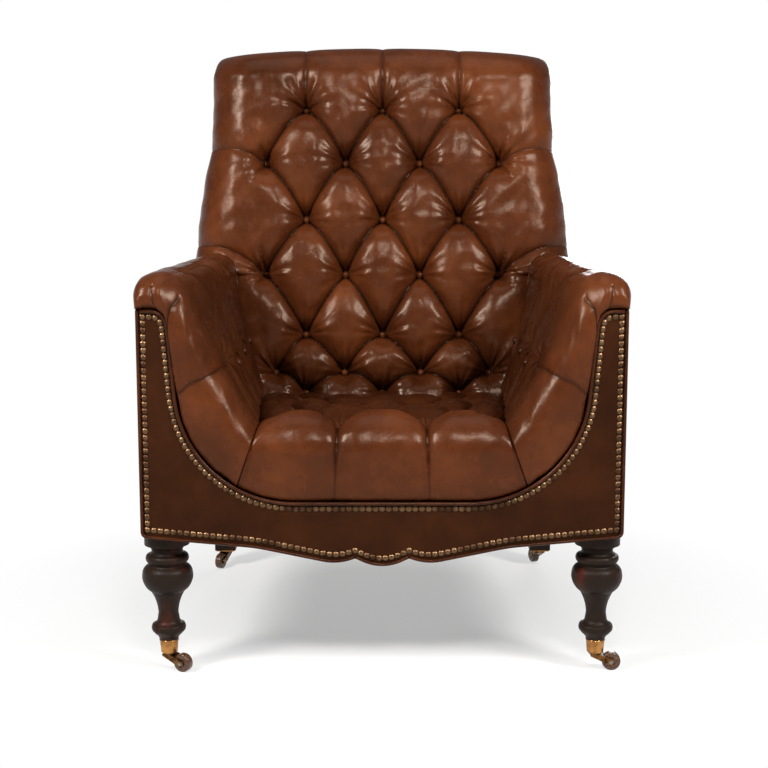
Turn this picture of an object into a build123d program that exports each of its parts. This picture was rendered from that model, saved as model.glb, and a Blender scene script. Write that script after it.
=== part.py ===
from build123d import *
import os
from math import asin, atan2, cos, radians, sin, sqrt, tan

os.makedirs("parts", exist_ok=True)

# Club chair in millimetres. +Z is up, the chair faces -Y, and the origin lies on the floor
# under the middle of the chair. Depths are counted backwards from the leather front panel.

# Driving dimensions of the whole chair
body_width = 784.0
body_side_draw = 69.0
body_bottom = 238.0
back_foot_depth = 697.0
back_rake = 10.0
top_height = 1075.0
outside_back_top = 1035.0
running_gap = 0.05
soft_gap = 0.4
overrun = 20.0

# Leather front panel: outer edge, U-shaped opening and scalloped bottom
facing_thickness = 8.0
facing_top = 611.0
facing_corner_radius = 9.0
opening_top_inset = 48.0
opening_foot_inset = 75.0
opening_foot = 296.0
opening_shoulder_radius = 26.0
opening_foot_radius = 190.0
notch_width = 88.0
notch_height = 203.5
centre_drop = 183.0
centre_drop_radius = 75.0
side_drop_width = 144.0
side_drop = 194.0
side_drop_radius = 85.0
rise_width = 410.0
rise_height = 221.5
rise_radius = 300.0

# Piping and decorative nails
welt_radius = 3.0
edge_welt_radius = 2.5
nail_radius = 4.9
nail_edge = 0.8
nail_dome = 2.0
nail_pitch = 10.8
nail_row_inset = 10.4
opening_nail_offset = 9.2
bottom_nail_rise = 13.0

# Arms
arm_top = 668.0
arm_lip = 7.0
arm_lip_bottom = 612.0
arm_lip_middle = 638.0
arm_lip_wall = 10.0
arm_ridge_inset = 30.0
arm_shoulder_inset = 74.0
arm_shoulder_rear_inset = 65.5
arm_shoulder = 645.0
arm_hollow = 8.0
arm_rear_hollow = 6.0
arm_bulge = 12.0
arm_front_squeeze = 24.0
arm_roll_depth = 45.0
arm_pleat_depth = 5.0
arm_pleat_half_width = 9.0
arm_pleat_depths = (150.0, 300.0, 450.0)
arm_button_height = 512.0
arm_button_pit = 6.0
arm_wing_share = 1.0

# Seat
seat_crease_inset = 205.0
seat_crease_rear_inset = 132.5
seat_crease_height = 448.0
seat_crease_lean = 0.393
seat_valley_front = 416.0
seat_valley_rear = 366.0
seat_front_depth = 60.0
seat_bottom = 330.0
seat_lip_bottom = 291.0
seat_rim_step = 8.0
seat_pit = 10.0
seat_bulge = 6.0
seat_front_drop = 84.0
seat_edge_rise = 24.0
bulge_inset = 10.0
seam_turn = 0.006
crease_steps = 40
seat_row_depths = (75.0, 200.0, 325.0, 450.0)
seat_narrow_row_shares = (0.0, 0.361)
seat_wide_row_shares = (0.19, 0.4866)

# Buttoned back
back_padding = 166.0
back_pad_bottom = 300.0
back_lower_inset = 53.5
back_arm_inset = 20.0
back_top_inset = 48.0
back_step_height = 628.5
back_round_height = 1010.0
back_front_roll = 60.0
back_rear_roll = 40.0
back_corner_roll = 32.0
back_crown = 37.0
back_side_set = 45.0
back_side_taper = 16.0
back_pit = 14.0
button_row_heights = (388.0, 428.0, 503.0, 622.0, 731.0, 843.0, 950.0)
back_narrow_row_shares = (0.0, 0.2224)
back_low_wide_row_shares = (0.1105, 0.311)
back_wide_row_shares = (0.1076, 0.343)

# Tufting
puff_share = 0.25
twin_share = 0.08
slack_share = 0.002
button_radius = 7.5
button_dome = 4.5
button_edge = 2.0

# Hardwood frame
panel_thickness = 4.0
rail_height = 52.0
rail_thickness = 50.0
front_rail_thickness = 42.0
rear_rail_thickness = 40.0
front_rail_drop = 26.0
arm_post_width = 44.0
arm_post_depth = 52.0
arm_rail_bottom = 578.0
arm_rail_top = 628.0
arm_rail_width = 38.0
rear_leg_width = 43.0
rear_leg_foot_depth = 690.0
rear_leg_foot = 36.5
rear_leg_height_taper = 640.0
back_post_depth = 42.0
back_post_top = 1018.0
back_post_top_inset = 32.0
crest_rail_height = 38.0
tacking_rail_bottom = 330.0
tacking_rail_height = 40.0
corner_block_size = 62.0
corner_block_height = 40.0
dust_cover_thickness = 1.5

# Seat suspension
strap_width = 50.0
strap_thickness = 2.0
strap_span_shares = (0.16, 0.39, 0.62, 0.85)
cross_strap_shares = (-0.2296, -0.0765, 0.0765, 0.2296)
spring_radius = 38.0
spring_waist = 25.0
spring_wire = 3.4
spring_place_shares = (-0.321, 0.0, 0.321)
spring_depths = (140.0, 280.0, 420.0)
webbing_thickness = 2.0

# Turned front legs
front_leg_inset = 35.0
front_leg_depth = 46.0
leg_bulb_radius = 42.2
leg_foot = 54.0
dowel_radius = 9.0
dowel_length = 30.0
dowel_gap = 0.1

# Casters
wheel_radius = 15.5
wheel_width = 14.0
wheel_crown = 3.0
wheel_side_gap = 0.5
wheel_rim_gap = 1.6
caster_trail = 27.0
cheek_thickness = 3.0
axle_radius = 2.0
axle_head_radius = 3.4
axle_head_thickness = 1.5
axle_seat_gap = 0.02
pintle_radius = 3.5
pintle_length = 26.0
pintle_hole_radius = 4.5
horn_disc_radius = 11.0
horn_disc_thickness = 3.0
horn_neck_half = 8.0
horn_boss_radius = 6.0
thrust_gap = 0.3
cup_bottom = 31.5
cup_base = 4.0
cup_top_radius = 15.5
cup_bottom_radius = 13.9
cup_bead = 0.9
cup_bead_height = 3.0
cup_bore_radius = 12.9
rear_plate_size = 38.0
rear_plate_thickness = 2.5
plate_screw_spacing = 27.0
screw_radius = 1.6
screw_head_radius = 2.8
screw_length = 9.0
screw_head = 1.4
front_left_azimuth = -25.0
front_right_azimuth = -4.0
rear_left_azimuth = -110.0
rear_right_azimuth = 107.0

# Places that follow from the sizes above
rake = tan(radians(back_rake))
half_body = body_width / 2
body_rear_width = body_width - body_side_draw
opening_top_width = body_width - 2 * opening_top_inset
opening_foot_width = body_width - 2 * opening_foot_inset
arm_shoulder_width = body_width - 2 * arm_shoulder_inset
arm_shoulder_rear_width = body_rear_width - 2 * arm_shoulder_rear_inset
seat_crease_width = body_width - 2 * seat_crease_inset
seat_crease_rear_width = body_rear_width - 2 * seat_crease_rear_inset
back_lower_width = body_rear_width - 2 * back_lower_inset
back_arm_width = body_width - 2 * back_arm_inset
back_top_width = body_width - 2 * back_top_inset
back_post_top_width = back_top_width - 2 * back_post_top_inset
rail_top = body_bottom + rail_height
rear_reach = back_foot_depth + (outside_back_top - body_bottom) * rake
front_y = (arm_bulge - rear_reach) / 2
leg_x = half_body - front_leg_inset
rear_leg_x = body_rear_width / 2 - panel_thickness - rear_leg_width / 2
rail_end = back_foot_depth - panel_thickness - back_post_depth


def at(depth):
    """y of a depth behind the front panel"""
    return front_y + depth


def blend(low, high, share):
    return low + (high - low) * min(max(share, 0), 1)


def body_half(depth):
    """half width over the outside arms, which draws in towards the back"""
    return blend(half_body, body_rear_width / 2, depth / rail_end)


def back_face(z):
    """depth of the outside back's rear face at a height"""
    return back_foot_depth + (z - body_bottom) * rake


def tuft_face(z):
    """depth of the plane that the back's pleats lie in"""
    return back_face(z) - back_padding


def post_face(z):
    """depth of the back posts' rear face"""
    return back_face(z) - panel_thickness


def webbing_face(z):
    """depth of the plane that the back pad is fastened to"""
    return post_face(z) - back_post_depth - webbing_thickness


def rail_inner(depth):
    """half width between the side seat rails"""
    return body_half(depth) - panel_thickness - rail_thickness


def arm_rail_inner(depth):
    """half width between the arm rails"""
    return body_half(depth) - arm_lip_wall - arm_rail_width


def crease_half(depth, z):
    """half width of the plane where the seat meets the arms"""
    front = seat_crease_width / 2
    back = seat_crease_rear_width / 2
    along = front + (back - front) * depth / tuft_face(seat_valley_rear)
    return along + (seat_crease_height - z) * seat_crease_lean


def roll(height, radius, start, end):
    """how far a quarter-round edge has drawn in at a height"""
    share = (height - start) / (end - start)
    if share <= 0:
        return 0
    return radius * (1 - sqrt(max(1 - share * share, 0)))


def front_prism(points, front, back):
    """block over an outline seen from the front, between two depths"""
    with BuildPart() as prism:
        with BuildSketch(Plane.XZ.offset(-at(front))):
            with BuildLine():
                Polyline(*points, close=True)
            make_face()
        extrude(amount=front - back)
    return prism.part


def raked_block(front, back, bottom, top, half_width):
    """block between two raked planes, given as functions of height"""
    with BuildPart() as block:
        with BuildSketch(Plane.YZ.offset(-half_width)):
            with BuildLine():
                Polyline(
                    (at(front(bottom)), bottom),
                    (at(back(bottom)), bottom),
                    (at(back(top)), top),
                    (at(front(top)), top),
                    close=True,
                )
            make_face()
        extrude(amount=2 * half_width)
    return block.part


def plan_prism(points, bottom, top):
    """upright prism over an outline in plan, whose points are half widths and depths"""
    with BuildPart() as prism:
        with BuildSketch(Plane.XY.offset(bottom)):
            with BuildLine():
                Polyline(*[(x, at(depth)) for x, depth in points], close=True)
            make_face()
        extrude(amount=top - bottom)
    return prism.part


def domed(radius, edge, rise):
    """round head standing on its plane, with a straight edge and a domed top"""
    sphere = (radius * radius + rise * rise) / (2 * rise)
    half_turn = asin(radius / sphere) / 2
    middle = (sphere * sin(half_turn), edge + rise - sphere * (1 - cos(half_turn)))
    with BuildPart() as head:
        with BuildSketch(Plane.XZ):
            with BuildLine():
                Polyline((0, edge + rise), (0, 0), (radius, 0), (radius, edge))
                ThreePointArc((radius, edge), middle, (0, edge + rise))
            make_face()
        revolve(axis=Axis.Z)
    return head.part


def finish(piece, name):
    """label a piece and write its file"""
    piece.label = name
    export_step(piece, f"parts/{name}.step")


def write_pair(right, name):
    """a right-hand piece and its mirror image on the left"""
    finish(right, name + "_right")
    finish(mirror(right, about=Plane.YZ), name + "_left")


# Outline of the front panel, from the middle of the bottom to the shoulder of the opening
bottom_points = [
    (notch_width / 2, notch_height),
    (side_drop_width / 2, side_drop),
    (rise_width / 2, rise_height),
    (half_body, body_bottom),
]
bottom_radii = [0, side_drop_radius, rise_radius, facing_corner_radius]
opening_points = [(opening_top_width / 2, facing_top), (opening_foot_width / 2, opening_foot)]
opening_radii = [opening_shoulder_radius, opening_foot_radius]


def opening_line(offset):
    """the U of the opening with its corners moved outwards by an offset, and its radii"""
    lean = (opening_top_width - opening_foot_width) / 2 / (facing_top - opening_foot)
    side = offset * sqrt(1 + lean * lean)
    shoulder = (opening_top_width / 2 + side - lean * offset, facing_top - offset)
    foot = (opening_foot_width / 2 + side - lean * offset, opening_foot - offset)
    radii = [opening_shoulder_radius - offset, opening_foot_radius + offset]
    return shoulder, foot, radii


with BuildPart() as front_facing:
    with BuildSketch(Plane.XZ.offset(-front_y)):
        with BuildLine():
            right = bottom_points + [(half_body, facing_top)] + opening_points
            right_radii = bottom_radii + [0] + opening_radii
            left = [(-x, z) for x, z in reversed(right)]
            FilletPolyline(
                (0, centre_drop),
                *right,
                *left,
                (0, centre_drop),
                radius=[centre_drop_radius] + right_radii + list(reversed(right_radii)),
            )
        make_face()
    extrude(amount=-facing_thickness)
finish(front_facing.part, "front_facing")


# Piping: round cords sewn along the opening and along the outer edge
def piping(points, radii, radius):
    """cord of round section along a filleted line that lies against the front panel"""
    with BuildPart() as cord:
        with BuildLine(Plane.XZ.offset(radius - front_y)) as route:
            FilletPolyline(*points, radius=radii)
        with BuildSketch(Plane(route.line @ 0, z_dir=route.line % 0)):
            Circle(radius)
        sweep()
    return cord.part


shoulder, foot, foot_radii = opening_line(welt_radius / 4)
welt_start = (half_body - edge_welt_radius * 3, shoulder[1] - welt_radius)
welt_line = [welt_start, (shoulder[0], welt_start[1]), foot]
opening_welt = piping(
    welt_line + [(-x, z) for x, z in reversed(welt_line)],
    foot_radii + list(reversed(foot_radii)),
    welt_radius,
)
finish(opening_welt, "opening_welt")

edge_x = half_body - edge_welt_radius
edge_rise = edge_welt_radius
side_line = [(x, z + edge_rise) for x, z in bottom_points[:3]]
side_line[0] = (notch_width / 2 + edge_rise, notch_height + edge_rise)
side_line += [(edge_x, body_bottom + edge_rise), (edge_x, facing_top - edge_rise)]
side_welt = piping(side_line, bottom_radii[1:], edge_welt_radius)
middle_line = [
    (-notch_width / 2 + edge_rise, notch_height + edge_rise),
    (0, centre_drop + edge_rise),
    (notch_width / 2 - edge_rise, notch_height + edge_rise),
]
with BuildPart() as edge_welt:
    add(side_welt)
    add(mirror(side_welt, about=Plane.YZ, mode=Mode.PRIVATE))
    add(piping(middle_line, [centre_drop_radius], edge_welt_radius))
finish(edge_welt.part, "edge_welt")


# Decorative nails: domed heads set on the front panel at an even pitch
def along(points, radii, first, last):
    """nail places along a filleted line, at the nearest pitch that fits"""
    with BuildLine(Plane.XZ.offset(-front_y)) as route:
        if radii:
            FilletPolyline(*points, radius=radii)
        else:
            Polyline(*points)
    wire = route.wire()
    steps = round(wire.length / nail_pitch)
    return [
        wire.position_at(wire.length * i / steps, position_mode=PositionMode.LENGTH)
        for i in range(first, steps + 1 + last)
    ]


nail_head = domed(nail_radius, nail_edge, nail_dome)


def nail_row(places, name):
    with BuildPart() as heads:
        with Locations(*[Plane(origin=place, z_dir=(0, -1, 0)) for place in places]):
            add(nail_head)
    finish(heads.part, name)


shoulder, foot, foot_radii = opening_line(opening_nail_offset)
row_x = half_body - nail_row_inset
shoulder = (shoulder[0], shoulder[1] - welt_radius)
row_start = (row_x, shoulder[1])
inner_line = [row_start, shoulder, foot]
inner_places = along(
    inner_line + [(-x, z) for x, z in reversed(inner_line)],
    foot_radii + list(reversed(foot_radii)),
    1,
    -1,
)
nail_row(inner_places, "nails_opening")
corner = (row_x, body_bottom + bottom_nail_rise)
for side, name in ((1, "nails_right"), (-1, "nails_left")):
    nail_row(along([(side * row_x, row_start[1]), (side * row_x, corner[1])], [], 0, 0), name)
scallop = [(x, z + bottom_nail_rise) for x, z in bottom_points[:3]] + [corner]
scallop_places = along(list(reversed(scallop)), list(reversed(bottom_radii[1:3])), 1, 0)
centre_line = [scallop[0], (0, centre_drop + bottom_nail_rise), (-scallop[0][0], scallop[0][1])]
centre_places = along(centre_line, [centre_drop_radius], 1, -1)
mirrored_places = [Vector(-place.X, place.Y, place.Z) for place in scallop_places]
nail_row(scallop_places + centre_places + mirrored_places, "nails_bottom")


# Hardwood frame: front posts, seat rails, arm rails, rear legs that run up into back posts
post_inner = half_body - panel_thickness - arm_post_width
rail_start = facing_thickness + arm_post_depth
front_rail_end = facing_thickness + front_rail_thickness


def panel_inner(depth):
    """half width between the outside arm panels"""
    return body_half(depth) - panel_thickness


def post_front(z):
    return post_face(z) - back_post_depth


def rear_rail_front(z):
    return post_face(z) - rear_rail_thickness


def post_half(z):
    """half width over the back posts, which lean towards each other above the arms"""
    share = (z - rear_leg_height_taper) / (back_post_top - rear_leg_height_taper)
    return blend(rear_leg_x + rear_leg_width / 2, back_post_top_width / 2, share)


with BuildPart() as arm_post:
    add(
        plan_prism(
            [
                (post_inner, facing_thickness),
                (panel_inner(facing_thickness), facing_thickness),
                (panel_inner(rail_start), rail_start),
                (post_inner, rail_start),
            ],
            body_bottom,
            arm_rail_bottom,
        )
    )
    with Locations((leg_x, at(front_leg_depth), body_bottom)):
        Cylinder(
            dowel_radius + dowel_gap,
            dowel_length + dowel_gap,
            align=(Align.CENTER, Align.CENTER, Align.MIN),
            mode=Mode.SUBTRACT,
        )
write_pair(arm_post.part, "arm_post")

seat_rail_front = front_prism(
    [
        (post_inner, body_bottom),
        (rise_width / 2, body_bottom),
        (side_drop_width, body_bottom - front_rail_drop / 2),
        (notch_width / 2, body_bottom - front_rail_drop),
        (-notch_width / 2, body_bottom - front_rail_drop),
        (-side_drop_width, body_bottom - front_rail_drop / 2),
        (-rise_width / 2, body_bottom),
        (-post_inner, body_bottom),
        (-post_inner, rail_top),
        (post_inner, rail_top),
    ],
    facing_thickness,
    front_rail_end,
)
finish(seat_rail_front, "seat_rail_front")

side_rail = plan_prism(
    [
        (rail_inner(rail_start), rail_start),
        (panel_inner(rail_start), rail_start),
        (panel_inner(rail_end), rail_end),
        (rail_inner(rail_end), rail_end),
    ],
    body_bottom,
    rail_top,
)
write_pair(side_rail, "seat_rail")

rear_leg_inner = rear_leg_x - rear_leg_width / 2
seat_rail_rear = raked_block(rear_rail_front, post_face, body_bottom, rail_top, rear_leg_inner)
finish(seat_rail_rear, "seat_rail_rear")

front_block = [
    (post_inner - corner_block_size, front_rail_end),
    (post_inner, front_rail_end),
    (post_inner, rail_start),
    (rail_inner(rail_start), rail_start),
    (rail_inner(rail_start + corner_block_size), rail_start + corner_block_size),
]
rear_block = [
    (rail_inner(rail_end - corner_block_size), rail_end - corner_block_size),
    (rail_inner(rail_end), rail_end),
    (rail_inner(rail_end) - corner_block_size, rail_end),
]
block_bottom = rail_top - corner_block_height
with BuildPart() as corner_blocks:
    for outline in (front_block, rear_block):
        right_block = plan_prism(outline, block_bottom, rail_top)
        add(right_block)
        add(mirror(right_block, about=Plane.YZ, mode=Mode.PRIVATE))
finish(corner_blocks.part, "corner_blocks")

rail_front = facing_thickness + panel_thickness
rail_back = webbing_face(arm_rail_bottom)
arm_rail = plan_prism(
    [
        (arm_rail_inner(rail_front), rail_front),
        (body_half(rail_front) - arm_lip_wall, rail_front),
        (body_half(rail_end) - arm_lip_wall, rail_end),
        (body_half(rail_back) - arm_lip_wall, rail_back),
        (arm_rail_inner(rail_back), rail_back),
        (arm_rail_inner(rail_end), rail_end),
    ],
    arm_rail_bottom,
    arm_rail_top,
)
write_pair(arm_rail, "arm_rail")

# Each rear leg and back post is one raked piece: a side outline crossed with a front outline
with BuildPart() as rear_leg:
    with BuildSketch(Plane.YZ):
        with BuildLine():
            Polyline(
                (at(rear_leg_foot_depth - rear_leg_width / 2), rear_leg_foot),
                (at(rear_leg_foot_depth + rear_leg_width / 2), rear_leg_foot),
                (at(post_face(body_bottom)), body_bottom),
                (at(post_face(back_post_top)), back_post_top),
                (at(post_front(back_post_top)), back_post_top),
                (at(post_front(body_bottom)), body_bottom),
                close=True,
            )
        make_face()
    extrude(amount=half_body)
    add(
        front_prism(
            [
                (rear_leg_inner, rear_leg_foot),
                (post_half(rear_leg_foot), rear_leg_foot),
                (post_half(rear_leg_height_taper), rear_leg_height_taper),
                (post_half(back_post_top), back_post_top),
                (post_half(back_post_top) - rear_leg_width, back_post_top),
                (rear_leg_inner, rear_leg_height_taper),
            ],
            0,
            rear_reach + overrun,
        ),
        mode=Mode.INTERSECT,
    )
    with Locations((rear_leg_x, at(rear_leg_foot_depth), rear_leg_foot)):
        Cylinder(
            pintle_hole_radius,
            pintle_length + thrust_gap,
            align=(Align.CENTER, Align.CENTER, Align.MIN),
            mode=Mode.SUBTRACT,
        )
        with GridLocations(plate_screw_spacing, plate_screw_spacing, 2, 2):
            Cylinder(
                screw_radius + running_gap,
                screw_length,
                align=(Align.CENTER, Align.CENTER, Align.MIN),
                mode=Mode.SUBTRACT,
            )
write_pair(rear_leg.part, "rear_leg")

crest_bottom = back_post_top - crest_rail_height
crest_ends = [
    (post_half(z) - rear_leg_width, z) for z in (crest_bottom, back_post_top)
]
with BuildPart() as crest_rail:
    add(raked_block(post_front, post_face, crest_bottom, back_post_top, half_body))
    add(
        front_prism(crest_ends + [(-x, z) for x, z in reversed(crest_ends)], 0, rear_reach + overrun),
        mode=Mode.INTERSECT,
    )
finish(crest_rail.part, "crest_rail")

tacking_top = tacking_rail_bottom + tacking_rail_height
tacking_rail = raked_block(post_front, post_face, tacking_rail_bottom, tacking_top, rear_leg_inner)
finish(tacking_rail, "back_tacking_rail")

# Webbing stretched over the front of the back posts, which carries the back pad
web_ends = [
    (post_half(z) - webbing_thickness, z)
    for z in (tacking_rail_bottom, rear_leg_height_taper, back_post_top)
]
with BuildPart() as back_webbing:
    add(raked_block(webbing_face, post_front, tacking_rail_bottom, back_post_top, half_body))
    add(
        front_prism(web_ends + [(-x, z) for x, z in reversed(web_ends)], 0, rear_reach + overrun),
        mode=Mode.INTERSECT,
    )
finish(back_webbing.part, "back_webbing")

# Seat suspension: crossed straps, hourglass springs as their envelopes, and a canvas over them
strap_top = body_bottom + strap_thickness
with BuildPart() as seat_webbing:
    for share in strap_span_shares:
        depth = blend(rail_start, rail_end, share)
        half = rail_inner(depth + strap_width / 2)
        with Locations((0, at(depth), body_bottom)):
            Box(2 * half, strap_width, strap_thickness, align=(Align.CENTER, Align.CENTER, Align.MIN))
    for share in cross_strap_shares:
        length = rear_rail_front(strap_top) - front_rail_end
        with Locations((share * body_width, at(front_rail_end), strap_top)):
            Box(strap_width, length, strap_thickness, align=(Align.CENTER, Align.MIN, Align.MIN))
finish(seat_webbing.part, "seat_webbing")

spring_foot = strap_top + strap_thickness
spring_height = seat_bottom - webbing_thickness - spring_foot
with BuildPart() as spring:
    with BuildSketch(Plane.XZ):
        with BuildLine():
            ThreePointArc(
                (spring_radius, 0), (spring_waist, spring_height / 2), (spring_radius, spring_height)
            )
            Line((spring_radius, spring_height), (spring_radius - spring_wire, spring_height))
            ThreePointArc(
                (spring_radius - spring_wire, spring_height),
                (spring_waist - spring_wire, spring_height / 2),
                (spring_radius - spring_wire, 0),
            )
            Line((spring_radius - spring_wire, 0), (spring_radius, 0))
        make_face()
    revolve(axis=Axis.Z)
spring_places = [
    (share * seat_crease_width, at(depth), spring_foot)
    for share in spring_place_shares
    for depth in spring_depths
]
with BuildPart() as seat_springs:
    with Locations(*spring_places):
        add(spring.part)
finish(seat_springs.part, "seat_springs")

canvas_front = seat_front_depth + webbing_thickness
canvas_back = tuft_face(seat_bottom) - back_crown - soft_gap
canvas_ends = [
    (crease_half(depth, seat_bottom) - soft_gap, depth) for depth in (canvas_front, canvas_back)
]
spring_canvas = plan_prism(
    canvas_ends + [(-x, depth) for x, depth in reversed(canvas_ends)],
    seat_bottom - webbing_thickness,
    seat_bottom,
)
finish(spring_canvas, "spring_canvas")

legs_end = front_leg_depth + leg_bulb_radius
cover_ends = [
    (leg_x - leg_bulb_radius, front_rail_end),
    (leg_x - leg_bulb_radius, legs_end),
    (panel_inner(legs_end), legs_end),
    (panel_inner(rail_end), rail_end),
]
dust_cover = plan_prism(
    cover_ends + [(-x, depth) for x, depth in reversed(cover_ends)],
    body_bottom - dust_cover_thickness,
    body_bottom,
)
finish(dust_cover, "dust_cover")


# Plain leather panels on the outside of the arms and the back
def back_half(z):
    """half width over the back pad: narrow between the arms, wide above them"""
    if z <= back_step_height:
        return back_lower_width / 2
    share = (z - back_step_height) / (back_round_height - back_step_height)
    wide = back_arm_width / 2
    narrow = back_top_width / 2
    return narrow + (wide - narrow) * (1 - min(share, 1)) ** 2


panel_top = arm_lip_bottom - soft_gap
wing_reach = (half_body + arm_lip - back_lower_width / 2) * arm_wing_share
panel_step = tuft_face(back_step_height) - back_crown + wing_reach
with BuildPart() as outside_arm:
    with BuildSketch(Plane.YZ):
        with BuildLine():
            Polyline(
                (at(facing_thickness), body_bottom),
                (at(post_face(body_bottom)), body_bottom),
                (at(post_face(back_step_height)), back_step_height),
                (at(panel_step), back_step_height),
                (at(panel_step), panel_top),
                (at(facing_thickness), panel_top),
                close=True,
            )
        make_face()
    extrude(amount=body_width)
    add(
        plan_prism(
            [
                (panel_inner(0), 0),
                (body_half(0), 0),
                (body_half(rail_end), rail_end),
                (body_half(rear_reach), rear_reach),
                (panel_inner(rear_reach), rear_reach),
                (panel_inner(rail_end), rail_end),
            ],
            body_bottom,
            back_step_height,
        ),
        mode=Mode.INTERSECT,
    )
write_pair(outside_arm.part, "outside_arm")

panel_heights = [
    blend(back_step_height + running_gap, back_round_height, share) for share in (0, 0.2, 0.45, 0.7, 1)
]
back_panel_ends = [
    (body_half(back_face(body_bottom)), body_bottom),
    (body_half(back_face(back_step_height)), back_step_height),
]
back_panel_ends += [(back_half(z) - back_side_taper, z) for z in panel_heights]
back_panel_ends += [(back_half(outside_back_top) - back_side_taper, outside_back_top)]
with BuildPart() as outside_back:
    add(raked_block(post_face, back_face, body_bottom, outside_back_top, body_width))
    add(
        front_prism(
            back_panel_ends + [(-x, z) for x, z in reversed(back_panel_ends)],
            0,
            rear_reach + overrun,
        ),
        mode=Mode.INTERSECT,
    )
finish(outside_back.part, "outside_back")


# Tufting: six pleats run between rows of three and four buttons
def six_places(row):
    """where the six pleats leave a row of buttons"""
    near, far = row
    if near == 0:
        return [-far, -far, 0, 0, far, far]
    return [-far, -near, -near, near, near, far]


def pleats(rows, places, here):
    """pleat places at a station between rows, and how near the station is to a row"""
    index = max([0] + [i for i in range(len(places) - 1) if places[i] <= here])
    share = (here - places[index]) / (places[index + 1] - places[index])
    share = min(max(share, twin_share), 1 - twin_share)
    pairs = zip(six_places(rows[index]), six_places(rows[index + 1]))
    return [low + (high - low) * share for low, high in pairs], (2 * share - 1) ** 2


def stations(places):
    """stations of the tufted loft from the first row of buttons to the last"""
    found = []
    for low, high in zip(places, places[1:]):
        found += [blend(low, high, s) for s in (twin_share, 0.3, 0.5, 0.7, 1 - twin_share)]
    return found


def arc(start, end, rise_share):
    """arc between two points that rises to its left by a share of its chord"""
    dx = end[0] - start[0]
    dz = end[1] - start[1]
    middle = ((start[0] + end[0]) / 2 - dz * rise_share, (start[1] + end[1]) / 2 + dx * rise_share)
    ThreePointArc(start, middle, end)


def button_rows(rows, places):
    """button places as pairs of a sideways place and a station"""
    found = []
    for row, place in zip(rows, places):
        found += [(x, place) for x in sorted(set(six_places(row)))]
    return found


button = domed(button_radius, button_edge, button_dome)


def button_group(planes, name):
    with BuildPart() as group:
        with Locations(*planes):
            add(button)
    finish(group.part, name)


def cut_pockets(planes):
    """flat-floored wells in which the buttons sit, for use inside a pad's block"""
    with Locations(*planes):
        Cylinder(
            button_radius + soft_gap,
            back_padding,
            align=(Align.CENTER, Align.CENTER, Align.MIN),
            mode=Mode.SUBTRACT,
        )


# Back pad: level sections, from the seat up to the rolled top
back_row_shares = [back_narrow_row_shares, back_low_wide_row_shares, back_narrow_row_shares]
back_row_shares += [back_wide_row_shares, back_narrow_row_shares] * 2
back_rows = [(near * back_top_width, far * back_top_width) for near, far in back_row_shares]
back_round_shares = (0.2, 0.45, 0.65, 0.82, 0.94, 1)
pad_levels = [back_pad_bottom, button_row_heights[0] - seat_front_depth / 4]
pad_levels += stations(button_row_heights)
pad_levels += [back_step_height, back_step_height + soft_gap, back_round_height]
pad_levels += [blend(back_round_height, top_height, share) for share in back_round_shares]
tufts_start = min(stations(button_row_heights))
with BuildPart() as back_pad:
    for z in sorted(pad_levels):
        places, nearness = pleats(back_rows, button_row_heights, z)
        front_in = roll(z, back_front_roll, back_round_height, top_height)
        corner_in = roll(z, back_corner_roll, back_round_height, top_height)
        half = back_half(z) - corner_in
        rear_half = half - (back_side_taper if z > back_step_height else 0)
        valley = at(tuft_face(z) + back_pit * nearness + front_in)
        rise = puff_share
        if z < tufts_start:
            valley = at(tuft_face(z) - back_crown + soft_gap)
            rise = soft_gap / back_lower_width
        side = at(tuft_face(z) + back_side_set)
        rear_in = roll(z, back_rear_roll, back_round_height, top_height)
        rear = at(post_face(z) - soft_gap - rear_in)
        with BuildSketch(Plane.XY.offset(z)):
            with BuildLine():
                edge = (-half, side)
                Line((-rear_half, rear), edge)
                for x in places:
                    arc(edge, (x, valley), -rise)
                    edge = (x, valley)
                arc(edge, (half, side), -rise)
                Line((half, side), (rear_half, rear))
                Line((rear_half, rear), (-rear_half, rear))
            make_face()
    loft(ruled=True)
    post_ends = [
        (post_half(z) + soft_gap, z)
        for z in (back_pad_bottom - overrun, rear_leg_height_taper, back_post_top + soft_gap)
    ]
    with BuildPart(mode=Mode.PRIVATE) as frame_space:
        add(
            raked_block(
                webbing_face,
                lambda z: back_face(z) + overrun,
                back_pad_bottom - overrun,
                back_post_top + soft_gap,
                body_width,
            )
        )
        add(
            front_prism(post_ends + [(-x, z) for x, z in reversed(post_ends)], 0, 2 * rear_reach),
            mode=Mode.INTERSECT,
        )
    add(frame_space.part, mode=Mode.SUBTRACT)
    back_normal = (0, -1, rake)
    back_button_planes = [
        Plane(origin=(x, at(tuft_face(z) + back_pit), z), z_dir=back_normal)
        for x, z in button_rows(back_rows, button_row_heights)
    ]
    cut_pockets(back_button_planes)
finish(back_pad.part, "back_pad")
button_group(back_button_planes, "back_buttons")


# The U of the opening as a circle, a leaning side and a rounded shoulder
side_lean = (opening_top_width - opening_foot_width) / 2 / (facing_top - opening_foot)
side_slant = sqrt(1 + side_lean * side_lean)
bowl_x = opening_foot_width / 2 - opening_foot_radius * (side_slant - side_lean)
bowl_z = opening_foot + opening_foot_radius
shoulder_z = facing_top - opening_shoulder_radius
shoulder_x = opening_top_width / 2 + opening_shoulder_radius * (side_slant - side_lean)


def bowl_point(angle, inset):
    """point of the opening's lower corner, by its angle below the level"""
    reach = opening_foot_radius - inset
    return bowl_x + reach * cos(angle), bowl_z - reach * sin(angle)


def bowl_crease(depth, inset):
    """angle at which the plane between seat and arm crosses the opening's lower corner"""
    low = 0
    high = radians(90)
    for _ in range(crease_steps):
        angle = (low + high) / 2
        x, z = bowl_point(angle, inset)
        if x > crease_half(depth, z):
            low = angle
        else:
            high = angle
    return angle


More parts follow.
